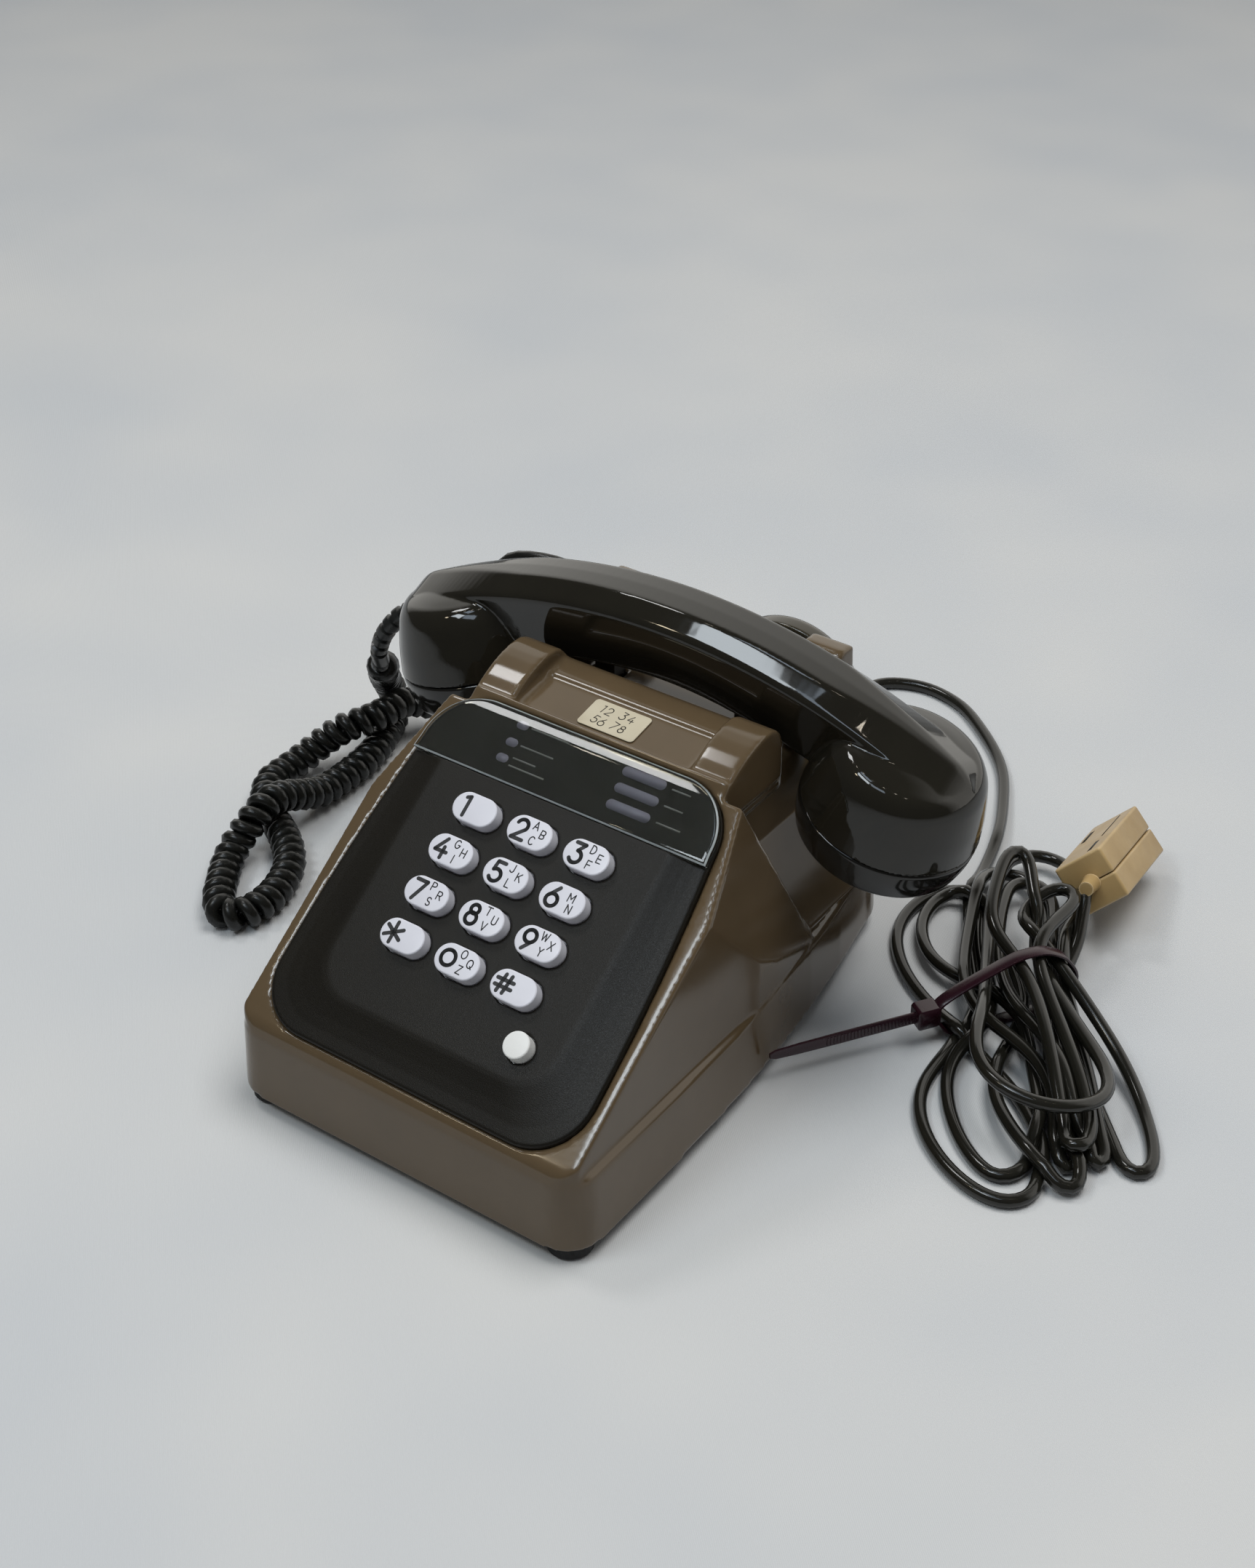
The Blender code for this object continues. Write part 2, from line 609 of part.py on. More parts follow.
def make_base(floor_black, rubber, black):
    """The bottom plate, its feet and the screws' bosses."""
    slab("base_plate", [base_outline(WALL + SKIRT_DRAFT / 2 + GAP)],
         FOOT_HEIGHT + GAP, FOOT_HEIGHT + GAP + FLOOR_THICKNESS, finish=floor_black)
    front = -BASE_DEPTH / 2 + FOOT_INSET
    rear = BASE_DEPTH / 2 - REAR_FOOT_INSET
    wide, narrow = side_at(front) - FOOT_INSET, side_at(rear) - FOOT_INSET
    places = {"foot_front_right": (wide, front), "foot_front_left": (-wide, front),
              "foot_rear_right": (narrow, rear), "foot_rear_left": (-narrow, rear)}
    for name, (x, y) in places.items():
        profile = [(0, FOOT_HEIGHT), (FOOT_RADIUS, FOOT_HEIGHT), (FOOT_RADIUS, 1.0 * MM),
                   (FOOT_RADIUS - 1.0 * MM, 0), (0, 0)]
        turned(name, profile, Matrix.Translation((x, y, 0)), rubber, 24)
    for name, x in GROMMETS.items():
        core = cylinder(name, GROMMET_RADIUS, -5.5 * MM, 0.6 * MM,
                        rear_frame(x, BASE_DEPTH / 2, GROMMET_Z), black, 16)
        collar = cylinder(f"{name}_collar", GROMMET_RADIUS + 1.2 * MM, 0.4 * MM, 2.4 * MM,
                          rear_frame(x, BASE_DEPTH / 2, GROMMET_Z), sides=16)
        join(core, collar)


# ---------------------------------------------------------------- keypad

def plate_half_width(v):
    return PLATE_HALF_WIDTH - PLATE_CURVE * max(0.0, v + 45 * MM) ** 2


def plate_outline(inset):
    """The keypad plate's outline on the slope, drawn in by inset."""
    foot, head = PLATE_FOOT + inset, PLATE_HEAD - inset
    corner = PLATE_CORNER - inset
    right = arc((plate_half_width(foot) - inset - corner, foot + corner), corner, -90, 0, 5)
    for v in (-20 * MM, 5 * MM, 25 * MM):
        right.append((plate_half_width(v) - inset, v))
    right += arc((plate_half_width(head - corner) - inset - corner, head - corner), corner, 0, 90, 5)
    return mirrored(right)


def plateau_outline():
    """The raised middle of the plate, with as many points as its outline."""
    corner = 14 * MM
    head = PLATE_HEAD - 3 * MM
    right = arc((PLATEAU_HALF_WIDTH - corner, PLATEAU_FOOT + corner), corner, -90, 0, 5)
    for v in (-15 * MM, 5 * MM, 25 * MM):
        right.append((PLATEAU_HALF_WIDTH, v))
    right += arc((PLATEAU_HALF_WIDTH - corner, head - corner), corner, 0, 90, 5)
    return mirrored(right)


def window_outline(inset, foot):
    """The window's outline: the plate's head above a straight foot."""
    head = PLATE_HEAD - inset
    corner = PLATE_CORNER - inset
    centre = (plate_half_width(head - corner) - inset - corner, head - corner)
    right = [(plate_half_width(foot) - inset, foot)] + arc(centre, corner, 0, 90, 6)
    return mirrored(right)


def key_places():
    """Name and place of each key on the slope, row by row."""
    names = (("key_1", "key_2", "key_3"), ("key_4", "key_5", "key_6"),
             ("key_7", "key_8", "key_9"), ("key_star", "key_0", "key_hash"))
    for row, line in enumerate(names):
        for column, name in enumerate(line):
            yield name, ((column - 1) * KEY_PITCH_U, (1.5 - row) * KEY_PITCH_V)


def make_keypad(grey, white, clear, card, rubber, board):
    """The plate with its window and card, the keys, and the contact mat and board behind them."""
    frame = plate_frame()
    plate = loft("keypad_plate", [
        at_height(plate_outline(0), PLATE_BOTTOM),
        at_height(plate_outline(0), PLATE_RIM - 0.6 * MM),
        at_height(plate_outline(0.7 * MM), PLATE_RIM),
        at_height(plateau_outline(), PLATE_PLATEAU),
    ], frame, grey)
    pocket = slab("plate_pocket", [rounded_rectangle((-39 * MM, -45 * MM), (39 * MM, 32.5 * MM), 3 * MM, 2)],
                  PLATE_BOTTOM - 1 * MM, PLATE_PLATEAU - PLATE_WALL, frame)
    window_seat = block("window_seat", (-80 * MM, WINDOW_FOOT, WINDOW_SEAT),
                        (80 * MM, 80 * MM, 5 * MM), frame)
    cut(plate, pocket, window_seat)
    window_floor = WINDOW_SEAT + CARD_THICKNESS + 2 * GAP
    window = slab("label_window", [window_outline(GAP, WINDOW_FOOT + GAP)],
                  window_floor, window_floor + WINDOW_THICKNESS, frame, clear)
    rounded(window, 0.4 * MM, 1, 60)
    slab("label_card", [window_outline(1.5 * MM, WINDOW_FOOT + 1.5 * MM)],
         WINDOW_SEAT + GAP, WINDOW_SEAT + GAP + CARD_THICKNESS, frame, card)

    flange_top = PLATE_PLATEAU - PLATE_WALL - GAP
    for name, (u, v) in key_places():
        sections = []
        for margin, height in ((1.0 * MM, flange_top - KEY_FLANGE), (1.0 * MM, flange_top), (0, flange_top),
                               (0, -0.5 * MM), (-0.5 * MM, 0)):
            outline = stadium((0, 0), KEY_LENGTH + 2 * margin, KEY_WIDTH + 2 * margin)
            sections.append(at_height(outline, height))
        loft(name, sections, frame @ Matrix.Translation((u, v, 0)), white)
        hole = slab(f"{name}_hole", [stadium((u, v), KEY_LENGTH + 2 * GAP, KEY_WIDTH + 2 * GAP)],
                    PLATE_BOTTOM - 1 * MM, 2 * MM, frame)
        cut(plate, hole)
    radius = RECALL_DIAMETER / 2
    profile = [(0, 0), (radius - 0.5 * MM, 0), (radius, -0.5 * MM), (radius, flange_top),
               (radius + 1 * MM, flange_top), (radius + 1 * MM, flange_top - KEY_FLANGE),
               (0, flange_top - KEY_FLANGE)]
    recall_frame = frame @ Matrix.Translation((RECALL_U, RECALL_V, 0))
    turned("recall_button", profile, recall_frame, white, 24)
    cut(plate, cylinder("recall_hole", radius + GAP, PLATE_BOTTOM - 1 * MM, 2 * MM, recall_frame))

    mat_top = flange_top - KEY_FLANGE - KEY_TRAVEL - 1.0 * MM
    mat_bottom = mat_top - MAT_THICKNESS
    outline = rounded_rectangle((-42 * MM, -48 * MM), (42 * MM, 36 * MM), 3 * MM, 2)
    mat = slab("key_mat", [outline], mat_bottom, mat_top, frame, rubber)
    for name, (u, v) in (*key_places(), ("recall", (RECALL_U, RECALL_V))):
        dome = cylinder(f"{name}_dome", 3.2 * MM, mat_top - 0.2 * MM, mat_top + 0.8 * MM,
                        frame @ Matrix.Translation((u, v, 0)), sides=10, top_radius=2.4 * MM)
        join(mat, dome)
    slab("keypad_board", [outline], mat_bottom - GAP - BOARD_THICKNESS, mat_bottom - GAP, frame, board)


WINDOW_SEAT = PLATE_RIM - 0.4 * MM


# ---------------------------------------------------------------- handset

def spine_at(x):
    """Height of the handle's top at a place along it."""
    return HANDLE_TOP - HANDLE_ARC + math.sqrt(HANDLE_ARC ** 2 - x ** 2)


def underside_at(x):
    return HANDLE_UNDERSIDE - HANDLE_UNDER_CURVE * x ** 2


def cup_half_width(x, z):
    """Half the width of a cup at a place, so that the handle ends inside it."""
    dx, dz = abs(x) - CUP_X, z - CUP_Z
    out = dx * math.cos(CUP_TILT) - dz * math.sin(CUP_TILT)
    up = dx * math.sin(CUP_TILT) + dz * math.cos(CUP_TILT)
    if out < 0 or up < 0:
        return CUP_RADIUS
    radius = CUP_SIDE[4][0] * MM
    for (narrow, high), (wide, low) in zip(CUP_SIDE[4:], CUP_SIDE[5:]):
        if low * MM <= up < high * MM:
            radius = (wide + (narrow - wide) * (up / MM - low) / (high - low)) * MM
    return math.sqrt(max((radius - GAP) ** 2 - out ** 2, (2 * MM) ** 2))


def handle_section(x):
    """The handle cut square to its length: a narrow spine, two facets and a narrow belly."""
    share = min(1.0, abs(x) / (95 * MM))
    swell = share * share * (3 - 2 * share)
    top = spine_at(x) - HANDLE_ROLL * max(0.0, 1 - (HANDLE_END - abs(x)) / HANDLE_ROLL) ** 2
    half = [(4, top), (13, top - 4.6 * MM), (13.8, top - 6.6 * MM),
            (12.5, top - (13 + 4 * swell) * MM), (7.5 + 4 * swell, underside_at(x))]
    right = [(min(width * MM, cup_half_width(x, z)), z) for width, z in half]
    outline = right + [(-y, z) for y, z in reversed(right)]
    return [(x, CUP_Y + y, z) for y, z in outline]


def make_handset(black, cap_black, metal, cord_black):
    """The handset: a hollow-cupped shell, two screw caps and the two capsules."""
    reach = (0, 12, 24, 36, 48, 60, 70, 80, 88, 95, 101, 106)
    half = [x * MM for x in reach] + [HANDLE_END - 2.5 * MM, HANDLE_END - 0.8 * MM, HANDLE_END]
    stations = [-x for x in reversed(half[1:])] + half
    shell = loft("handset_shell", [handle_section(x) for x in stations], finish=black)
    caps = {1: ("mouth_cap", "transmitter_capsule"), -1: ("ear_cap", "receiver_capsule")}
    for side, (cap_name, capsule_name) in caps.items():
        frame = cup_frame(side)
        profile = [(radius * MM, height * MM) for radius, height in CUP_SIDE] + [(0, 0)]
        join(shell, turned(f"cup_{side}", profile, frame, steps=28))
        cut(shell, cylinder(f"cup_pocket_{side}", CAPSULE_RADIUS + GAP, -2 * MM, CAPSULE_TOP + GAP, frame))
        inner = CAPSULE_RADIUS + GAP
        bottom = -CAP_DEPTH
        cap_profile = [(inner, -GAP), (CUP_RADIUS, -GAP), (CUP_RADIUS - 0.4 * MM, -6 * MM),
                       (CUP_RADIUS - 2.2 * MM, bottom + 2.5 * MM), (CUP_RADIUS - 5.5 * MM, bottom),
                       (14 * MM, bottom + 0.8 * MM), (0, bottom + 1.6 * MM),
                       (0, bottom + 4.4 * MM), (inner, bottom + 4.4 * MM), (inner, -GAP)]
        turned(cap_name, cap_profile, frame, cap_black, 28)
        capsule_bottom = bottom + 4.4 * MM + GAP
        capsule_profile = [(0, CAPSULE_TOP), (CAPSULE_RADIUS - 8 * MM, CAPSULE_TOP),
                           (CAPSULE_RADIUS, CAPSULE_TOP - 5 * MM), (CAPSULE_RADIUS, capsule_bottom),
                           (0, capsule_bottom)]
        turned(capsule_name, capsule_profile, frame, metal, 24)
    tube("handset_cord_boot", BOOT_ROUTE, BOOT_DIAMETER, cord_black, 0.8)


# ---------------------------------------------------------------- hook switch

def make_hook(black, metal, switch_black):
    """Two plungers under the handle, the lever that they press and the switch that it works."""
    plunger_bottom = HOOK_PIVOT_Z + 3.3 * MM
    for name, side in (("hook_plunger_right", 1), ("hook_plunger_left", -1)):
        x = side * PLUNGER_X
        half = PLUNGER_SIZE / 2
        top = underside_at(PLUNGER_X + half) - GAP
        plunger = block(name, (x - half, CUP_Y - half, plunger_bottom),
                        (x + half, CUP_Y + half, top), finish=black)
        rounded(plunger, 0.8 * MM, 1, 60)
    lever_top = plunger_bottom - GAP
    lever_bottom = lever_top - 2.0 * MM
    half_span = PLUNGER_X + PLUNGER_SIZE / 2
    tee = [(-half_span, CUP_Y - 5 * MM), (half_span, CUP_Y - 5 * MM), (half_span, CUP_Y + 5 * MM),
           (5 * MM, CUP_Y + 5 * MM), (5 * MM, HOOK_PIVOT_Y), (-5 * MM, HOOK_PIVOT_Y),
           (-5 * MM, CUP_Y + 5 * MM), (-half_span, CUP_Y + 5 * MM)]
    lever = slab("hook_lever", [tee], lever_bottom, lever_top, finish=metal)
    pivot = Matrix.Translation((0, HOOK_PIVOT_Y, HOOK_PIVOT_Z)) @ Matrix.Rotation(math.pi / 2, 4, "Y")
    barrel = cylinder("hook_barrel", 2.6 * MM, -HOOK_BARREL, HOOK_BARREL, pivot, sides=16)
    join(lever, barrel)
    roof = TROUGH_FLOOR - WALL - GAP
    block("hook_switch", (14 * MM, CUP_Y + 8 * MM, roof - 11 * MM), (32 * MM, CUP_Y + 22 * MM, roof),
          finish=switch_black)


# ---------------------------------------------------------------- works

def make_works(board, metal, brass, copper, black, green):
    """The ringer and the circuit on the bottom plate."""
    floor = FOOT_HEIGHT + GAP + FLOOR_THICKNESS + GAP
    frame_top = floor + 4 * MM
    frame = block("ringer_frame", (-30 * MM, 6 * MM, floor), (30 * MM, 76 * MM, floor + 2 * MM),
                  finish=metal)
    gong_z = floor + 22 * MM
    for name, side in (("gong_right", 1), ("gong_left", -1)):
        post = cylinder(f"{name}_post", 3 * MM, floor + 1 * MM, gong_z - GAP,
                        Matrix.Translation((side * GONG_X, GONG_Y, 0)), sides=12)
        join(frame, post)
        profile = [(0, gong_z + 11 * MM), (8 * MM, gong_z + 10 * MM), (15 * MM, gong_z + 6 * MM),
                   (GONG_RADIUS, gong_z - 3 * MM), (GONG_RADIUS - 1.2 * MM, gong_z - 3 * MM),
                   (13 * MM, gong_z + 5 * MM), (7 * MM, gong_z + 8 * MM), (4 * MM, gong_z + 8 * MM),
                   (4 * MM, gong_z), (0, gong_z)]
        turned(name, profile, Matrix.Translation((side * GONG_X, GONG_Y, 0)), brass, 24)
    clapper_post = cylinder("clapper_post", 2.5 * MM, floor + 1 * MM, gong_z - 3.3 * MM,
                            Matrix.Translation((0, CLAPPER_Y, 0)), sides=12)
    join(frame, clapper_post)
    coil = block("ringer_coil", (-16 * MM, 9 * MM, floor + 2 * MM + GAP),
                 (16 * MM, 20 * MM, floor + 18 * MM), finish=copper)
    rounded(coil, 2.0 * MM, 2, 60)
    arm = block("bell_clapper", (-1.2 * MM, CLAPPER_Y - 4 * MM, gong_z - 3 * MM),
                (1.2 * MM, GONG_Y, gong_z - 1 * MM), finish=metal)
    hub = cylinder("clapper_hub", 3.5 * MM, gong_z - 3 * MM, gong_z + 1.5 * MM,
                   Matrix.Translation((0, CLAPPER_Y, 0)), sides=14)
    ball = cylinder("clapper_ball", CLAPPER_RADIUS, gong_z - 4 * MM, gong_z + 1 * MM,
                    Matrix.Translation((0, GONG_Y, 0)), sides=14)
    join(arm, hub, ball)
    board_top = floor + 4 * MM + BOARD_THICKNESS
    circuit = block("circuit_board", (-52 * MM, -84 * MM, floor + 4 * MM),
                    (52 * MM, -14 * MM, board_top), finish=board)
    for k, (x, y) in enumerate(((-47, -79), (47, -79), (-47, -19), (47, -19))):
        join(circuit, cylinder(f"board_leg_{k}", 2.5 * MM, floor, floor + 4.5 * MM,
                               Matrix.Translation((x * MM, y * MM, 0)), sides=10))
    low = board_top + GAP
    transformer = block("transformer", (-40 * MM, -54 * MM, low), (-12 * MM, -26 * MM, low + 20 * MM),
                        finish=metal)
    rounded(transformer, 1.5 * MM, 1, 60)
    cylinder("capacitor", 8 * MM, low, low + 22 * MM, Matrix.Translation((20 * MM, -36 * MM, 0)), green, 20)
    block("terminal_block", (-20 * MM, -74 * MM, low), (24 * MM, -62 * MM, low + 9 * MM), finish=black)


GONG_X = 23 * MM
GONG_Y = 58 * MM
GONG_RADIUS = 18 * MM
CLAPPER_Y = 28 * MM
CLAPPER_RADIUS = 3 * MM


# ---------------------------------------------------------------- second earpiece

def make_earpiece(black, cap_black, metal, brown):
    """The round second earpiece, which hangs in an open cradle behind the case."""
    axis = rear_frame(EAR_X, EAR_BACK, EAR_Z)
    inner = EAR_RADIUS - 3 * MM
    floor = EAR_DOME - 3 * MM
    shell = [(0, EAR_DOME), (EAR_RADIUS - 12 * MM, EAR_DOME - 0.8 * MM),
             (EAR_RADIUS - 4 * MM, EAR_DOME - 3.6 * MM), (EAR_RADIUS, 0), (EAR_RADIUS, -EAR_BAND),
             (inner, -EAR_BAND), (inner, 0), (inner - 8 * MM, floor), (0, floor)]
    turned("earpiece_shell", shell, axis, black, 32)
    capsule_front = -EAR_BAND - 1.5 * MM
    snug = inner - 2 * GAP
    turned("earpiece_capsule", [(0, floor - GAP), (snug - 10 * MM, floor - GAP), (snug, -1 * MM),
                                (snug, capsule_front), (0, capsule_front)], axis, metal, 24)
    front = -EAR_BAND - EAR_CAP_DEPTH
    cap_outer = EAR_RADIUS * 0.94
    turned("earpiece_cap", [(inner - GAP, -EAR_BAND - GAP), (cap_outer, -EAR_BAND - GAP),
                            (cap_outer - 1.5 * MM, -EAR_BAND - 4 * MM), (cap_outer - 6 * MM, front),
                            (12 * MM, front + 1 * MM), (0, front + 1.6 * MM), (0, capsule_front - GAP),
                            (inner - GAP, capsule_front - GAP), (inner - GAP, -EAR_BAND - GAP)],
           axis, cap_black, 32)
    near = EAR_RADIUS + GAP
    far = near + 2.6 * MM
    wall_y = NECK_REAR + GAP - EAR_BACK
    lip = near - 1.4 * MM
    section = [(far, wall_y), (near, wall_y), (near, 1.2 * MM), (lip, 1.8 * MM), (lip, 3.4 * MM),
               (far, 3.4 * MM)]
    steps = 12
    spread = math.radians(62)
    rows = []
    for k in range(steps + 1):
        angle = math.pi / 2 - spread + 2 * spread * k / steps
        rows.append([(radius * math.cos(angle), radius * math.sin(angle), depth)
                     for radius, depth in section])
    loft("earpiece_cradle", rows, axis, brown)


# ---------------------------------------------------------------- cords

BOOT_ROUTE = ((-111.5, 58.7, 88.0), (-119, 61, 86.6), (-128, 58.5, 83.8), (-134.3, 54.5, 76), (-139, 55, 66),
              (-142, 59, 58))
COIL_ROUTE = ((-142.5, 59.9, 56.3), (-145.6, 63.6, 52.4), (-154, 73, 43.3), (-164, 84, 32.0),
              (-171.5, 94, 20.1), (-172, 98, 11.4), (-167, 91.5, 6.8), (-161, 79, 6.45),
              (-157.5, 69, 6.45), (-155.5, 57, 6.45), (-155, 46, 6.6), (-154.5, 34, 7.8),
              (-154.5, 23, 12.4), (-154.5, 12, 17.8), (-154, 3, 19.3), (-154, -5, 16.0),
              (-155.5, -12, 9.8), (-153, -20, 6.5), (-147, -29, 6.45), (-141, -37, 6.45),
              (-134, -42, 6.45), (-128, -38.5, 6.45), (-126.3, -28, 6.45), (-128.5, -18, 6.45),
              (-133.5, -8, 6.45), (-141, 0, 6.45), (-150, 6.5, 6.45), (-160, 12, 6.45),
              (-170, 19.5, 6.45), (-176, 29, 6.45), (-176.5, 39, 6.5), (-174.5, 48, 8.8),
              (-170, 55.5, 14.0), (-164.5, 61, 18.6), (-160, 68, 19.8), (-158, 77, 19.8),
              (-157.5, 86, 19.4), (-154.5, 96, 15.0), (-148.5, 106, 9.3), (-139.5, 114, 6.6),
              (-128, 119, 6.45), (-114, 121, 6.45))
TAIL_ROUTE = ((-113.6, 121.1, 6.45), (-100, 123.5, 5.2), (-82, 127, 3.4), (-62, 131, 2.7), (-40, 134, 2.7),
              (-23, 134, 5.5), (-13, 128.5, 12.5), (-10.1, 121, 15.8), (-10, 109, 16))
EAR_CORD_ROUTE = ((-18.4, 100.5, 82), (-26, 100.5, 84.5), (-42, 98, 92.5), (-64, 91.5, 103.5),
                  (-86, 87, 107), (-102, 86, 101.5), (-109, 86, 86), (-106, 89, 62), (-99, 95, 36),
                  (-90, 101.5, 14), (-78, 109, 4.0), (-60, 117, 2.5), (-43, 124.5, 4.5),
                  (-32.5, 126, 12), (-29.1, 120.5, 15.8), (-29, 109, 16))
LINE_CORD_ROUTE = ((10, 109, 16), (9.9, 120.5, 15.7), (8, 130, 11.5), (2.5, 143, 4.5),
                   (-7, 163, 2.5), (-20, 191, 2.5), (-27.5, 215, 2.5), (-23, 231, 2.5),
                   (-8, 238.5, 2.5), (10, 235.5, 2.5), (27, 224, 2.5), (46, 205, 2.5),
                   (62, 187, 2.6), (74, 174, 4.2), (80.5, 165, 6.4), (82.5, 157, 7.0))
HANK_OUTLINE = ((103, 66), (84, 66), (70, 84), (66.5, 110), (67.5, 136), (72, 151), (79, 156.2), (86, 156.2),
                (96, 152), (110, 139), (122, 118), (134, 93), (150, 82), (168, 67), (186, 47), (192, 22),
                (184, 2), (167, -14), (146, -12), (128, 1), (111, 25), (101, 50))
TIE_HEAD = (101, 48)                # mm, on the table under the tie's head
TIE_DIRECTION = Vector((0.55, 0.84)).normalized()
TIE_LOOP = (3.5, 57.0)              # mm, the loop's ends along the tie from its head
TIE_TAIL = 57.0                     # mm, from the head to the tail's tip


def make_cords(cord_black, cord_grey, tie_red, beige):
    """The handset's curly cord, the earpiece's cord and the line cord with its hank, tie and plug."""
    tube("handset_cord", COIL_ROUTE, COIL_OUTER, cord_black, 1.2)
    tube("handset_cord_tail", TAIL_ROUTE, COIL_TAIL, cord_black)
    tube("earpiece_cord", EAR_CORD_ROUTE, EAR_CORD, cord_black)
    tube("line_cord", LINE_CORD_ROUTE, LINE_CORD, cord_grey)
    closed = [Vector((x, y, 0)) * MM for x, y in HANK_OUTLINE]
    outline = [(point.x, point.y) for point in smooth_path(closed + closed[:1], 9 * MM)[:-1]]
    hank = slab("line_cord_bundle", [outline], HANK_BOTTOM, HANK_TOP, finish=cord_grey)

    along = Vector((*TIE_DIRECTION, 0))
    across = Vector((-along.y, along.x, 0))
    frame = Matrix((( along.x, 0, -across.x, TIE_HEAD[0] * MM), (along.y, 0, -across.y, TIE_HEAD[1] * MM),
                    (0, 1, 0, 0), (0, 0, 0, 1)))
    strap, height = 1.3 * MM, 4.8 * MM
    low, high = TIE_LOOP[0] * MM, TIE_LOOP[1] * MM
    bottom, top = 0.4 * MM, 32.4 * MM
    outer = rounded_rectangle((low, bottom), (high, top), 9 * MM)
    inner = rounded_rectangle((low + strap, bottom + strap), (high - strap, top - strap), 8 * MM)
    ring = slab("cable_tie", [outer, inner], -height / 2, height / 2, frame, tie_red)
    groove = slab("tie_groove", [rounded_rectangle((low - GAP, bottom - GAP),
                                                   (high + GAP, top + GAP), 9 * MM),
                                 rounded_rectangle((low + strap + GAP, bottom + strap + GAP),
                                                   (high - strap - GAP, top - strap - GAP), 8 * MM)],
                  -height / 2 - GAP, height / 2 + GAP, frame)
    head = block("tie_head", (-4 * MM, 8 * MM, -3.6 * MM), (low + 0.6 * MM, 16 * MM, 3.6 * MM), frame)
    head_room = block("tie_head_room", (-4 * MM - GAP, 8 * MM - GAP, -3.6 * MM - GAP),
                      (low + 3 * MM, 16 * MM + GAP, 3.6 * MM + GAP), frame)
    tail = block("tie_tail", (-TIE_TAIL * MM, 9.4 * MM, -0.65 * MM), (-3 * MM, 14.2 * MM, 0.65 * MM), frame)
    join(ring, head, tail)
    cut(hank, groove, head_room)
    plug_axis = Matrix.Translation(PLUG_AT) @ plug_turn()
    length, width, depth = PLUG_SIZE
    cut(hank, block("plug_room", (-GAP, -GAP, -GAP), (length + GAP, width + GAP, depth + GAP), plug_axis))
    body = block("plug_body", (0, 0, GAP / 2), (length, width / 2 - GAP / 2, depth), plug_axis, beige)
    cover = block("plug_cover", (0, width / 2 + GAP / 2, GAP / 2), (length, width, depth), plug_axis, beige)
    for item in (body, cover):
        rounded(item, 1.0 * MM, 1, 60)


PLUG_SIZE = (49 * MM, 19.6 * MM, 19.4 * MM)
PLUG_AT = (113 * MM, 179 * MM, 27 * MM)
HANK_BOTTOM = 2.4 * MM
HANK_TOP = 30 * MM


def plug_turn():
    """The plug rests on one long edge with its cord end raised on the hank."""
    along = Vector((7, -47, 12)).normalized()
    down = Vector((14, -1, -14))
    down = (down - along * down.dot(along)).normalized()
    across = along.cross(down)
    if across.x > 0:
        across = -across
    return Matrix(((along.x, down.x, across.x, 0), (along.y, down.y, across.y, 0),
                   (along.z, down.z, across.z, 0), (0, 0, 0, 1)))


# ---------------------------------------------------------------- assembly

clear_scene()
PHONE = new_collection("desk_telephone")
CUTTERS = new_collection("cutters")

BROWN = material("case_brown", (110, 95, 82), 0.18)
PLATE_GREY = material("plate_grey", (46, 43, 37), 0.45)
GLOSS_BLACK = material("handset_black", (36, 34, 28), 0.12)
CAP_BLACK = material("cap_black", (24, 23, 20), 0.12)
KEY_WHITE = material("key_white", (225, 225, 232), 0.35)
CLEAR = material("window_clear", (200, 205, 205), 0.05)
CARD = material("card_grey", (52, 52, 50), 0.5)
STICKER = material("sticker_cream", (215, 205, 165), 0.6)
RUBBER = material("rubber_black", (22, 22, 22), 0.7)
BOARD = material("board_brown", (120, 92, 50), 0.5)
FLOOR_BLACK = material("floor_black", (40, 40, 40), 0.6)
ALUMINIUM = material("capsule_aluminium", (165, 166, 168), 0.4, 1.0)
STEEL = material("steel", (150, 152, 155), 0.35, 1.0)
BRASS = material("bell_metal", (190, 180, 150), 0.25, 1.0)
COPPER = material("coil_copper", (150, 85, 50), 0.4, 0.8)
GREEN = material("capacitor_green", (60, 90, 80), 0.4)
CORD_BLACK = material("cord_black", (35, 37, 35), 0.4)
CORD_GREY = material("cord_grey", (60, 60, 50), 0.35)
TIE_RED = material("tie_red", (45, 20, 28), 0.3)
BEIGE = material("plug_beige", (190, 155, 100), 0.45)

make_case(BROWN)
make_base(FLOOR_BLACK, RUBBER, CAP_BLACK)
make_keypad(PLATE_GREY, KEY_WHITE, CLEAR, CARD, RUBBER, BOARD)
STICKER_SIZE = (22 * MM, 12.5 * MM, 0.3 * MM)
STICKER_AT = (-1.1 * MM, 9.0 * MM)          # the sticker's middle on the tray
block("number_sticker",
      (STICKER_AT[0] - STICKER_SIZE[0] / 2, STICKER_AT[1] - STICKER_SIZE[1] / 2, -0.2 * MM + GAP),
      (STICKER_AT[0] + STICKER_SIZE[0] / 2, STICKER_AT[1] + STICKER_SIZE[1] / 2,
       -0.2 * MM + GAP + STICKER_SIZE[2]),
      tray_frame(), STICKER)
make_handset(GLOSS_BLACK, CAP_BLACK, ALUMINIUM, CORD_BLACK)
make_hook(CAP_BLACK, STEEL, CAP_BLACK)
make_works(BOARD, STEEL, BRASS, COPPER, CAP_BLACK, GREEN)
make_earpiece(GLOSS_BLACK, CAP_BLACK, ALUMINIUM, BROWN)
make_cords(CORD_BLACK, CORD_GREY, TIE_RED, BEIGE)

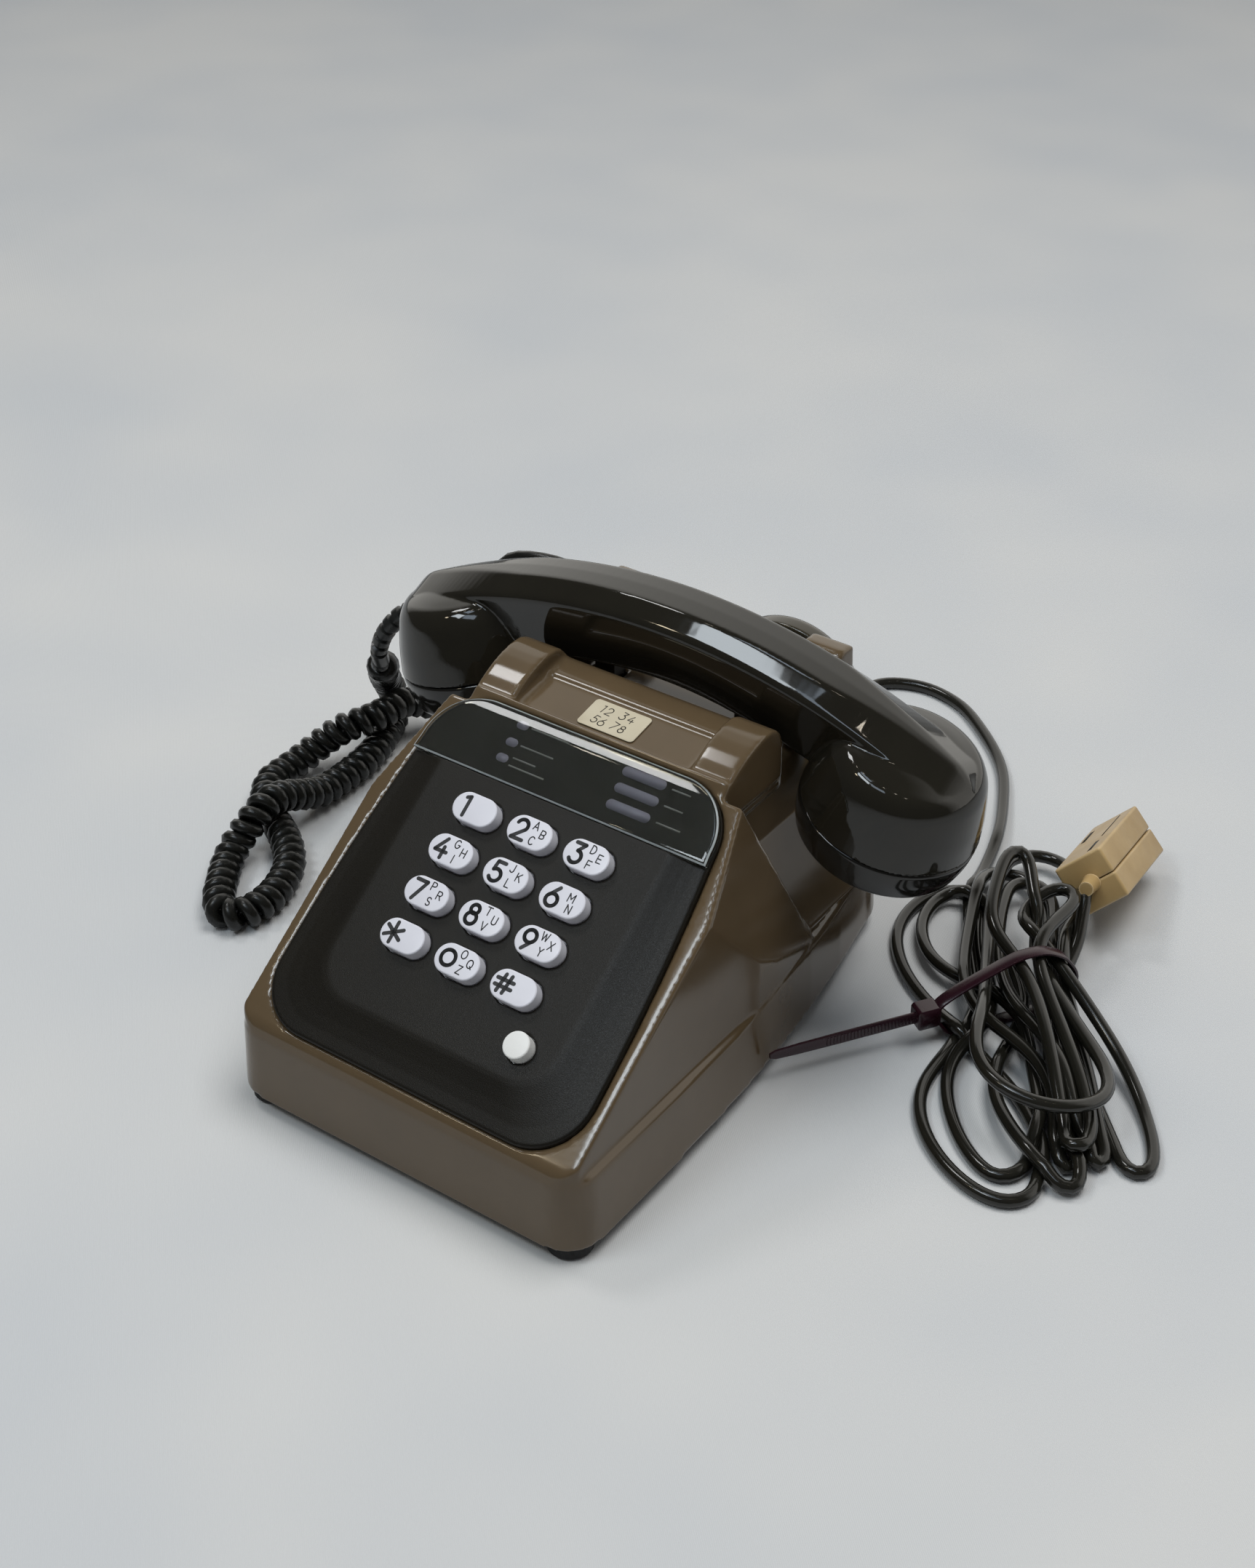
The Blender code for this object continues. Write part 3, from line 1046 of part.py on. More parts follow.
carry("handset_axis", (0, CUP_Y, HANDLE_UNDERSIDE),
      ("handset_shell", "ear_cap", "mouth_cap", "receiver_capsule", "transmitter_capsule",
       "handset_cord_boot"))
carry("earpiece_axis", (EAR_X, EAR_BACK, EAR_Z), ("earpiece_shell", "earpiece_cap", "earpiece_capsule"))
carry("hook_lever_axis", (0, HOOK_PIVOT_Y, HOOK_PIVOT_Z), ("hook_lever",))
carry("clapper_axis", (0, CLAPPER_Y, 0), ("bell_clapper",))
carry("plunger_axis_right", (PLUNGER_X, CUP_Y, TROUGH_FLOOR), ("hook_plunger_right",))
carry("plunger_axis_left", (-PLUNGER_X, CUP_Y, TROUGH_FLOOR), ("hook_plunger_left",))

# The base sits behind the origin by half of what the earpiece stands out at the rear.
CENTRE = bpy.data.objects.new("telephone_centre", None)
CENTRE.location = (0, -(EAR_BACK + EAR_DOME - BASE_DEPTH / 2) / 2, 0)
CUTTERS.objects.link(CENTRE)
for item in [*PHONE.objects, *CUTTERS.objects]:
    if item.parent is None and item is not CENTRE:
        item.parent = CENTRE
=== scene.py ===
"""Looks of the pushbutton desk telephone: its finishes, fine forms, cords, light and camera."""
import bpy
import bmesh
from math import atan2, cos, degrees, pi, radians, sin, sqrt
import numpy as np
from mathutils import Matrix, Vector

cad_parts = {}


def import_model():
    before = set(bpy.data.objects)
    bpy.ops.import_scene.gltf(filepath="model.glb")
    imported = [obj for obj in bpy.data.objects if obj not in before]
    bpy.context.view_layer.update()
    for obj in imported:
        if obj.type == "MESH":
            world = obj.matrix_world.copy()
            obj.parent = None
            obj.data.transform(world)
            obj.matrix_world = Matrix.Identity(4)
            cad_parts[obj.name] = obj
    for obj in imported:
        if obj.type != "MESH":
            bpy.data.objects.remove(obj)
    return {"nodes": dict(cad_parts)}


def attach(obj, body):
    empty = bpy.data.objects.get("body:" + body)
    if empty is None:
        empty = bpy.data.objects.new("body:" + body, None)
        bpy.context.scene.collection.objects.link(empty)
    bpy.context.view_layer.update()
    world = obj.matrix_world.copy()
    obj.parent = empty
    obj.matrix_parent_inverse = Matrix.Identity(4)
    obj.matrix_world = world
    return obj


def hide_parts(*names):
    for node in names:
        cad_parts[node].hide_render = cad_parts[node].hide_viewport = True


MM = 0.001
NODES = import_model()["nodes"]
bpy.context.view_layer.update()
SHIFT = np.array((0, -2.5 * MM, 0))                 # from the base's own frame to the shared one
CENTRE = Matrix.Translation(SHIFT)


# ------------------------ camera

scene = bpy.context.scene
camera = bpy.data.objects.new("camera", bpy.data.cameras.new("camera"))
scene.collection.objects.link(camera)
camera.location = (0.37715, -0.51184, 0.53238)
camera.rotation_euler = [radians(angle) for angle in (55.216, 0.111, 35.472)]
camera.data.sensor_fit = "HORIZONTAL"
camera.data.sensor_width = 36
camera.data.lens = 68.87
camera.data.clip_start = 0.01
scene.camera = camera


# ------------------------ materials

def srgb(rgb):
    """A colour written 0 to 255 as the linear one that a shader takes."""
    return [((channel / 255 + 0.055) / 1.055) ** 2.4 for channel in rgb] + [1.0]


class Finish:
    """A Principled material and the nodes that give it colour variation, sheen and relief."""

    def __init__(self, name, rgb, roughness, **sockets):
        self.made = bpy.data.materials.new(name)
        self.made.use_nodes = True
        self.tree = self.made.node_tree
        self.shader = self.tree.nodes["Principled BSDF"]
        self.shader.inputs["Base Color"].default_value = srgb(rgb)
        self.shader.inputs["Roughness"].default_value = roughness
        for socket, value in sockets.items():
            self.shader.inputs[socket.replace("_", " ")].default_value = value
        self.made.diffuse_color = srgb(rgb)
        self.place = self.node("ShaderNodeTexCoord")

    def node(self, kind, **settings):
        made = self.tree.nodes.new(kind)
        for key, value in settings.items():
            if key in made.inputs:
                made.inputs[key].default_value = value
            else:
                setattr(made, key, value)
        return made

    def link(self, start, end):
        self.tree.links.new(start, end)

    def noise(self, scale, detail):
        made = self.node("ShaderNodeTexNoise", Scale=scale, Detail=detail, Roughness=0.6)
        self.link(self.place.outputs["Object"], made.inputs["Vector"])
        return made.outputs["Fac"]

    def ramp(self, source, *stops):
        """Two colours at two places of a source's range."""
        made = self.node("ShaderNodeValToRGB")
        for element, (where, colour) in zip(made.color_ramp.elements, stops):
            element.position = where
            element.color = srgb(colour)
        self.link(source, made.inputs["Fac"])
        return made.outputs["Color"]

    def levels(self, source, low, high, out_low, out_high):
        made = self.node("ShaderNodeMapRange")
        limits = zip(("From Min", "From Max", "To Min", "To Max"), (low, high, out_low, out_high))
        for socket, value in limits:
            made.inputs[socket].default_value = value
        self.link(source, made.inputs["Value"])
        return made.outputs["Result"]

    def rubbed(self, source, rgb):
        """A source colour that goes paler where the surface turns over an edge."""
        bevel = self.node("ShaderNodeBevel", Radius=0.9 * MM)
        face = self.node("ShaderNodeNewGeometry")
        facing = self.node("ShaderNodeVectorMath", operation="DOT_PRODUCT")
        self.link(bevel.outputs["Normal"], facing.inputs[0])
        self.link(face.outputs["Normal"], facing.inputs[1])
        mix = self.node("ShaderNodeMix", data_type="RGBA")
        self.link(self.levels(facing.outputs["Value"], 0.995, 0.93, 0.0, 0.9), mix.inputs["Factor"])
        self.link(source, mix.inputs["A"])
        mix.inputs["B"].default_value = srgb(rgb)
        return mix.outputs["Result"]

    def colour(self, source):
        self.link(source, self.shader.inputs["Base Color"])

    def roughness(self, source, low, high):
        self.link(self.levels(source, 0.3, 0.7, low, high), self.shader.inputs["Roughness"])

    def bump(self, source, strength, distance):
        made = self.node("ShaderNodeBump", Strength=strength, Distance=distance)
        self.link(source, made.inputs["Height"])
        self.link(made.outputs["Normal"], self.shader.inputs["Normal"])


GRAIN_DEPTH = 0.06 * MM


def plastic(name, rgb, darker, roughness, grain=0.0, grain_size=2500, uneven=120, worn=None, **sockets):
    """Moulded plastic: faint cloudy colour, uneven gloss, a fine moulded surface, maybe paler edges."""
    made = Finish(name, rgb, roughness, **sockets)
    colour = made.ramp(made.noise(38, 5), (0.3, darker), (0.72, rgb))
    made.colour(made.rubbed(colour, worn) if worn else colour)
    made.roughness(made.noise(uneven, 6), roughness * 0.85, roughness * 1.25)
    if grain:
        made.bump(made.noise(grain_size, 3), grain, GRAIN_DEPTH)
    return made.made


BROWN = plastic("case_brown_gloss", (90, 75, 55), (84, 70, 51), 0.12, 0.03, 1400, 900)
PLATE = plastic("plate_grain", (19, 16, 9), (15, 12, 6), 0.4, 0.8, 2800, 2200, Specular_IOR_Level=0.25)
BLACK = plastic("handset_gloss", (30, 28, 22), (26, 24, 19), 0.06, 0.0)
CAP = plastic("cap_gloss", (24, 23, 20), (20, 19, 17), 0.08)
KEY = plastic("key_ivory", (210, 210, 216), (202, 202, 209), 0.36, 0.12, 1800)
RECALL = plastic("recall_white", (224, 224, 221), (216, 216, 212), 0.36, 0.12, 1800)
LEGEND = plastic("key_legend", (16, 16, 20), (12, 12, 16), 0.4)
CARD = plastic("card_print", (50, 47, 41), (45, 43, 37), 0.6, Specular_IOR_Level=0.2)
MARKS = plastic("card_marks", (150, 143, 156), (136, 130, 142), 0.5)
PAPER = plastic("sticker_paper", (198, 190, 168), (186, 176, 152), 0.7, 0.2, 900)
INK = plastic("sticker_ink", (70, 66, 58), (60, 56, 50), 0.6)
RUBBER = plastic("foot_rubber", (24, 24, 24), (18, 18, 18), 0.7, 0.3, 1200)
COIL = plastic("coil_cord_skin", (24, 24, 22), (18, 19, 17), 0.26, 0.08, 900, Specular_IOR_Level=0.35)
CORD = plastic("line_cord_skin", (31, 30, 25), (25, 24, 20), 0.14, 0.05, 700, Specular_IOR_Level=0.5)
TIE = plastic("tie_maroon", (46, 20, 29), (36, 15, 23), 0.26)
STEEL = plastic("sheet_steel", (150, 152, 155), (138, 140, 143), 0.34, Metallic=1.0)
BOARD = plastic("resin_board", (120, 92, 50), (104, 78, 42), 0.45)
FLOOR_BLACK = plastic("floor_moulding", (40, 40, 40), (32, 32, 32), 0.55, 0.2, 1500)
BOOT_RUBBER = plastic("boot_rubber", (30, 31, 30), (24, 25, 24), 0.3, 0.1, 900)
OLIVE = plastic("earpiece_olive", (52, 47, 36), (46, 42, 32), 0.12)
RULES = plastic("card_rules", (150, 147, 140), (132, 130, 124), 0.5)
ALUMINIUM = plastic("capsule_aluminium", (165, 166, 168), (150, 151, 153), 0.4, Metallic=1.0)
# a pale, partly clear colour: painted highlight of the light caught in the cover's clear edge
EDGE_HIGHLIGHT = plastic("cover_edge_painted_highlight", (196, 202, 202), (176, 184, 184), 0.15, Transmission_Weight=0.35)
BELL = plastic("bell_nickel", (190, 180, 150), (172, 162, 134), 0.22, Metallic=1.0)
COPPER = plastic("wound_copper", (150, 85, 50), (128, 70, 40), 0.4, 0.3, 1500, Metallic=0.8)
CAPACITOR = plastic("capacitor_lacquer", (60, 90, 80), (52, 80, 70), 0.35)
# painted shade: the dark inside of the plug's slot openings
SLOT_SHADE = plastic("slot_painted_shade", (38, 32, 24), (28, 24, 18), 0.7)
PLUG = plastic("plug_beige", (184, 156, 108), (158, 130, 84), 0.34, 0.3, 500, worn=(222, 200, 158))
WINDOW = Finish("window_clear", (235, 240, 240), 0.03, Transmission_Weight=1.0, IOR=1.46).made


# ------------------------ tools

def put(name, data):
    """A new object in the scene."""
    item = bpy.data.objects.new(name, data)
    scene.collection.objects.link(item)
    return item


def mesh_of(bm, name):
    """A bmesh as a mesh."""
    mesh = bpy.data.meshes.new(name)
    bm.to_mesh(mesh)
    bm.free()
    return mesh


def make(name, bm, finish, frame, smooth=30, node=None, body="telephone"):
    """A piece from a bmesh drawn in a frame of the base's own, riding on a body."""
    bm.normal_update()
    return adopt(name, mesh_of(bm, name), finish, frame, smooth, node, body)


def adopt(name, mesh, finish, frame, smooth, node, body):
    """A piece from a mesh: its finish, its smooth shading up to an angle, its CAD node and body."""
    if frame is not None:
        mesh.transform(CENTRE @ frame)
    piece = put(name, mesh)
    mesh.materials.clear()
    mesh.materials.append(finish)
    mesh.shade_smooth()
    if smooth:
        mesh.set_sharp_from_angle(angle=radians(smooth))
    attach(piece, body)
    if node:
        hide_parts(node)
    return piece


def dress(finish, *names):
    """Gives CAD nodes whose shape stays a better finish."""
    for name in names:
        for slot in NODES[name].material_slots:
            slot.material = finish


def moulded(node, name, finish, voxel, passes):
    """A CAD solid with its hard edges melted into the small radii of a moulding."""
    soften(adopt(name, NODES[node].data.copy(), finish, None, 0, node, "telephone"), voxel, passes)


def melted(name, form, cutters, finish, frame, voxel, passes, node, body="telephone"):
    """A form with holes cut from it, its edges melted like those of a moulding."""
    piece = make(name, form, finish, frame, 0, node, body)
    spare = []
    for cutter in cutters:
        item = put("cutter", mesh_of(cutter, "cutter"))
        item.data.transform(CENTRE @ frame)
        cut = piece.modifiers.new("cut", "BOOLEAN")
        cut.operation = "DIFFERENCE"
        cut.solver = "EXACT"
        cut.use_self = True
        cut.object = item
        spare.append(item)
    soften(piece, voxel, passes)
    for item in spare:
        bpy.data.objects.remove(item, do_unlink=True)


def soften(piece, voxel, passes):
    """Rebuilds a piece's mesh from cells of voxel millimetres and relaxes it."""
    remesh = piece.modifiers.new("voxels", "REMESH")
    remesh.mode = "VOXEL"
    remesh.voxel_size = voxel * MM
    relax = piece.modifiers.new("relax", "SMOOTH")
    relax.factor = 0.5
    relax.iterations = passes
    bpy.context.view_layer.update()
    solved = piece.evaluated_get(bpy.context.evaluated_depsgraph_get())
    mesh, old = bpy.data.meshes.new_from_object(solved), piece.data
    piece.modifiers.clear()
    piece.data = mesh
    bpy.data.meshes.remove(old)
    mesh.shade_smooth()


def arc(centre, radius, start, end, steps):
    """Points on an arc, its angles in degrees."""
    return [(centre[0] + radius * cos(radians(start + (end - start) * k / steps)),
             centre[1] + radius * sin(radians(start + (end - start) * k / steps)))
            for k in range(steps + 1)]


def eased(points, radius, steps=4):
    """A polyline with its inner corners rounded."""
    out = [points[0]]
    for a, b, c in zip(points, points[1:], points[2:]):
        a, b, c = Vector(a), Vector(b), Vector(c)
        cut = min(radius, (a - b).length * 0.45, (c - b).length * 0.45)
        start, end = b + (a - b).normalized() * cut, b + (c - b).normalized() * cut
        for k in range(steps + 1):
            t = k / steps
            out.append(tuple(start * (1 - t) ** 2 + b * 2 * t * (1 - t) + end * t * t))
    out.append(points[-1])
    return out


def lathe(profile, steps=96):
    """A solid of revolution about z from (radius, z) points, top to bottom."""
    bm = bmesh.new()
    rings = []
    for radius, z in profile:
        if radius < 1e-7:
            rings.append([bm.verts.new((0, 0, z))])
            continue
        angles = [2 * pi * k / steps for k in range(steps)]
        rings.append([bm.verts.new((radius * cos(a), radius * sin(a), z)) for a in angles])
    for one, two in zip(rings, rings[1:]):
        for k in range(steps):
            j = (k + 1) % steps
            face = [one[k % len(one)], two[k % len(two)], two[j % len(two)], one[j % len(one)]]
            corners = list(dict.fromkeys(face))
            if len(corners) > 2:
                bm.faces.new(corners)
    bmesh.ops.recalc_face_normals(bm, faces=bm.faces)
    return bm


def loft(sections, closed=False, caps=True):
    """A skin over outlines with as many points each, in order."""
    bm = bmesh.new()
    rows = [[bm.verts.new(point) for point in section] for section in sections]
    count = len(rows[0])
    for one, two in zip(rows, rows[1:] + ([rows[0]] if closed else [])):
        for i in range(count):
            j = (i + 1) % count
            bm.faces.new((one[i], one[j], two[j], two[i]))
    if caps and not closed:
        bm.faces.new(rows[0][::-1])
        bm.faces.new(rows[-1])
    bmesh.ops.recalc_face_normals(bm, faces=bm.faces)
    return bm


def prism(outline, low, high):
    return loft([[(x, y, low) for x, y in outline], [(x, y, high) for x, y in outline]])


def mirrored(right):
    """A closed outline from its right half, foot to head."""
    return right + [(-x, y) for x, y in reversed(right)]


def stadium(length, width, steps=16):
    """A bar with round ends."""
    half = (length - width) / 2
    return arc((half, 0), width / 2, -90, 90, steps) + arc((-half, 0), width / 2, 90, 270, steps)


def rounded_rectangle(length, width, radius, steps=6):
    x, y = length / 2 - radius, width / 2 - radius
    corners = enumerate(((x, -y), (x, y), (-x, y), (-x, -y)))
    return [point for k, corner in corners for point in arc(corner, radius, 90 * k - 90, 90 * k, steps)]


def smooth_path(points, spacing):
    """Evenly spaced points on a centripetal Catmull-Rom curve through the route's points."""
    points = [Vector(point) for point in points]
    ends = [2 * points[0] - points[1], *points, 2 * points[-1] - points[-2]]
    fine = []
    for a, b, c, d in zip(ends, ends[1:], ends[2:], ends[3:]):
        t1 = (b - a).length ** 0.5
        t2 = t1 + (c - b).length ** 0.5
        t3 = t2 + (d - c).length ** 0.5
        for step in range(24):
            t = t1 + (t2 - t1) * step / 24
            ab = a.lerp(b, t / t1)
            bc = b.lerp(c, (t - t1) / (t2 - t1))
            cd = c.lerp(d, (t - t2) / (t3 - t2))
            late = bc.lerp(cd, (t - t1) / (t3 - t1))
            fine.append(ab.lerp(bc, t / t2).lerp(late, (t - t1) / (t2 - t1)))
    fine.append(points[-1])
    lengths = np.concatenate([[0], np.cumsum([(two - one).length for one, two in zip(fine, fine[1:])])])
    count = max(2, round(lengths[-1] / spacing))
    wanted = np.linspace(0, lengths[-1], count + 1)
    table = np.array([tuple(point) for point in fine])
    return np.stack([np.interp(wanted, lengths, table[:, axis]) for axis in range(3)], 1)


def tube(name, path, diameter, finish, resolution):
    """A cord on the base: a curve object along points in the base's own frame, in metres."""
    curve = bpy.data.curves.new(name, "CURVE")
    curve.dimensions = "3D"
    curve.bevel_depth = diameter / 2
    curve.bevel_resolution = resolution
    curve.use_fill_caps = True
    spline = curve.splines.new("POLY")
    spline.points.add(len(path) - 1)
    for point, where in zip(spline.points, path):
        point.co = (*(CENTRE @ Vector(where)), 1)
    spline.use_smooth = True
    curve.materials.append(finish)
    piece = put(name, curve)
    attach(piece, "telephone")
    return piece


def run_length(path):
    """How far it is along a path to each of its points."""
    return np.concatenate([[0], np.cumsum(np.linalg.norm(np.diff(path, axis=0), axis=1))])


def directions(path):
    """Normals that turn as little as they can along a path, and the directions square to them."""
    tangents = np.gradient(path, axis=0)
    tangents /= np.linalg.norm(tangents, axis=1)[:, None]
    normals = [np.cross(tangents[0], (0.3, 0.2, 1.0))]
    for tangent in tangents[1:]:
        normals.append(normals[-1] - tangent * normals[-1].dot(tangent))
        normals[-1] /= np.linalg.norm(normals[-1])
    normals[0] /= np.linalg.norm(normals[0])
    normals = np.array(normals)
    return normals, np.cross(tangents, normals)


def sweep(path, radii, sides=28):
    """A round body along a path whose radius changes from point to point."""
    normals, sidewise = directions(path)
    angles = np.linspace(0, 2 * pi, sides, endpoint=False)
    return loft([[tuple(point + radius * (n * cos(a) + s * sin(a))) for a in angles]
                 for point, radius, n, s in zip(path, radii, normals, sidewise)])


def join_meshes(bms):
    """Several bmeshes as one."""
    whole = bmesh.new()
    for bm in bms:
        mesh = mesh_of(bm, "part")
        whole.from_mesh(mesh)
        bpy.data.meshes.remove(mesh)
    return whole


def oval(wide, high, start, end, steps):
    return [(wide * x, high * y) for x, y in arc((0, 0), 1, start, end, steps)]


def letters():
    """Each dial letter as the middle lines of its strokes, 4 mm high, about its own centre."""
    round_o = oval(1.45, 2, 0, 360, 20)
    bowl = arc((0.15, 0.95), 1.05, 90, -90, 8) + [(-1.1, -0.1)]
    stem = [(-1.1, -2), (-1.1, 2)]
    return {
        "A": [[(-1.35, -2), (0, 2), (1.35, -2)], [(-0.9, -0.7), (0.9, -0.7)]],
        "B": [stem + bowl, arc((0.2, -1.05), 0.95, 90, -90, 8) + [(-1.1, -2)]],
        "C": [oval(1.4, 2, 45, 315, 16)],
        "D": [stem + [(x - 0.4, y) for x, y in oval(1.7, 2, 90, -90, 10)] + [(-1.1, -2)]],
        "E": [[(1.1, 2), (-1.1, 2), (-1.1, -2), (1.1, -2)], [(-1.1, 0), (0.8, 0)]],
        "F": [[(1.1, 2), (-1.1, 2), (-1.1, -2)], [(-1.1, 0), (0.8, 0)]],
        "G": [oval(1.4, 2, 45, 350, 16) + [(0.3, -0.3)]],
        "H": [[(-1.2, -2), (-1.2, 2)], [(1.2, -2), (1.2, 2)], [(-1.2, 0), (1.2, 0)]],
        "I": [[(0, -2), (0, 2)]],
        "J": [[(0.8, 2), (0.8, -0.9)] + arc((-0.2, -0.95), 1, 0, -160, 8)],
        "K": [stem, [(1.2, 2), (-1.1, -0.3)], [(-0.3, 0.5), (1.3, -2)]],
        "L": [[(-1, 2), (-1, -2), (1.1, -2)]],
        "M": [[(-1.5, -2), (-1.5, 2), (0, -0.6), (1.5, 2), (1.5, -2)]],
        "N": [[(-1.2, -2), (-1.2, 2), (1.2, -2), (1.2, 2)]],
        "O": [round_o],
        "P": [stem + bowl],
        "Q": [round_o, [(0.4, -1), (1.4, -2.2)]],
        "R": [stem + bowl, [(0.1, -0.1), (1.25, -2)]],
        "S": [arc((0, 1), 1, 30, 270, 10) + arc((0, -1), 1, 90, -150, 10)],
        "T": [[(-1.3, 2), (1.3, 2)], [(0, 2), (0, -2)]],
        "U": [[(-1.2, 2), (-1.2, -0.8)] + arc((0, -0.8), 1.2, 180, 360, 10) + [(1.2, 2)]],
        "V": [[(-1.35, 2), (0, -2), (1.35, 2)]],
        "W": [[(-1.8, 2), (-0.9, -2), (0, 1.4), (0.9, -2), (1.8, 2)]],
        "X": [[(-1.2, 2), (1.2, -2)], [(1.2, 2), (-1.2, -2)]],
        "Y": [[(-1.2, 2), (0, 0.1), (1.2, 2)], [(0, 0.1), (0, -2)]],
        "Z": [[(-1.1, 2), (1.2, 2), (-1.2, -2), (1.2, -2)]],
    }


def figures():
    """Each dial figure as the middle lines of its strokes, 5.9 mm high, about its own centre."""
    six = [(1.0, 2.95), (-0.9, 0.55)] + arc((0, -1.1), 1.85, 150, 510, 24)
    return {
        "0": [oval(2.25, 2.3, 0, 360, 24)],
        "1": [[(-0.9, 2.45), (0.3, 2.95), (0.3, -2.95)]],
        "2": [arc((0, 1.2), 1.75, 165, -30, 14) + [(-1.85, -2.95), (1.95, -2.95)]],
        "3": [[(-1.5, 2.95), (1.55, 2.95), (-0.15, 0.75)] + arc((-0.1, -1.1), 1.85, 80, -150, 16)],
        "4": [[(0.6, 2.95), (-1.95, -1.0), (1.95, -1.0)], [(0.75, 0.4), (0.75, -2.95)]],
        "5": [[(1.6, 2.95), (-0.95, 2.95), (-1.3, 0.35)] + arc((-0.1, -1.1), 1.85, 125, -150, 18)],
        "6": [six],
        "7": [[(-1.75, 2.95), (1.85, 2.95), (-0.75, -2.95)]],
        "8": [arc((0, 1.6), 1.35, 0, 360, 20), arc((0, -1.2), 1.75, 0, 360, 24)],
        "9": [[(-x, -y) for x, y in six]],
        "*": [[(3.1 * cos(a), 3.1 * sin(a)), (-3.1 * cos(a), -3.1 * sin(a))]
              for a in map(radians, (30, 90, 150))],
        "#": [[(x - 0.35, -2.6), (x + 0.35, 2.6)] for x in (-1, 1)]
             + [[(-2.7, y), (2.7, y)] for y in (-1, 1)],
    }


PRINT = 0.03      # how far printed marks stand off their ground


def drawn(name, marks, width, finish, frame, body="telephone"):
    """Figures drawn with a round pen: (figure, x, y, size, turn in degrees)."""
    bm = bmesh.new()
    shapes = {**figures(), **letters()}
    for figure, x, y, size, turn in marks:
        place = Matrix.Translation((x, y, PRINT)) @ Matrix.Rotation(radians(turn), 4, "Z")
        for line in shapes[figure]:
            for start, end in zip(line, line[1:]):
                a, b = Vector(start) * size, Vector(end) * size
                way = degrees(atan2(b.y - a.y, b.x - a.x))
                outline = (arc(b, width / 2, way - 90, way + 90, 6)
                           + arc(a, width / 2, way + 90, way + 270, 6))
                bm.faces.new([bm.verts.new(place @ Vector((*point, 0))) for point in outline])
    make(name, bm, finish, frame, 0, body=body)


# ------------------------ cords

# The cords' routes, in millimetres in the base's own frame.
BOOT = [(-111.5, 58.7, 88.0), (-119, 61, 86.6), (-128, 58.5, 83.8), (-134.3, 54.5, 76), (-139, 55, 66),
        (-142, 59, 58)]
CURLS = [(-142.5, 59.9, 56.3), (-145.6, 63.6, 52.4), (-154, 73, 43.3), (-164, 84, 32.0),
         (-171.5, 94, 20.1), (-172, 98, 11.4), (-167, 91.5, 6.8), (-161, 79, 6.45), (-157.5, 69, 6.45),
         (-155.5, 57, 6.45), (-155, 46, 6.6), (-154.5, 34, 7.8), (-154.5, 23, 12.4), (-154.5, 12, 17.8),
         (-154, 3, 19.3), (-154, -5, 16.0), (-155.5, -12, 9.8), (-153, -20, 6.5), (-147, -29, 6.45),
         (-141, -37, 6.45), (-134, -42, 6.45), (-128, -38.5, 6.45), (-126.3, -28, 6.45),
         (-128.5, -18, 6.45), (-133.5, -8, 6.45), (-141, 0, 6.45), (-150, 6.5, 6.45), (-160, 12, 6.45),
         (-170, 19.5, 6.45), (-176, 29, 6.45), (-176.5, 39, 6.5), (-174.5, 48, 8.8), (-170, 55.5, 14.0),
         (-164.5, 61, 18.6), (-160, 68, 19.8), (-158, 77, 19.8), (-157.5, 86, 19.4), (-154.5, 96, 15.0),
         (-148.5, 106, 9.3), (-139.5, 114, 6.6), (-128, 119, 6.45), (-114, 121, 6.45)]
TAIL = [(-100, 123.5, 5.2), (-82, 127, 3.4), (-62, 131, 2.7), (-40, 134, 2.7),
        (-23, 134, 5.5), (-13, 128.5, 12.5), (-10.1, 121, 15.8), (-10, 109, 16)]
EAR_CORD = [(-18.4, 100.5, 82), (-26, 100.5, 84.5), (-42, 98, 92.5), (-64, 91.5, 103.5), (-86, 87, 107),
            (-102, 86, 101.5), (-109, 86, 86), (-106, 89, 62), (-99, 95, 36), (-90, 101.5, 14),
            (-78, 109, 4.0), (-60, 117, 2.5), (-43, 124.5, 4.5), (-32.5, 126, 12), (-29.1, 120.5, 15.8),
            (-29, 109, 16)]
LINE_START = [(10, 109, 16), (9.9, 120.5, 15.7), (8, 130, 11.5), (2.5, 143, 4.5), (-7, 163, 2.5),
              (-20, 191, 2.5), (-27.5, 215, 2.5), (-23, 231, 2.5), (-8, 238.5, 2.5), (10, 235.5, 2.5),
              (27, 224, 2.5), (46, 205, 2.5), (60, 180, 3.5), (69, 158, 5)]
TIE_HEAD = (101, 48)
TIE_ALONG = Vector((0.55, 0.84)).normalized()
TIE_REACH = 4.0                 # how far to either side of it the tie holds the strands
TIE_ROOM = (4.8, 55.7)          # the room inside the tie, along it from its head
TIE_HEIGHT = (1.8, 31.0)        # and above the table


def waist(s, z):
    """A place inside the tie: s millimetres along it from its head, z above the table."""
    return (TIE_HEAD[0] + TIE_ALONG.x * s, TIE_HEAD[1] + TIE_ALONG.y * s, z)


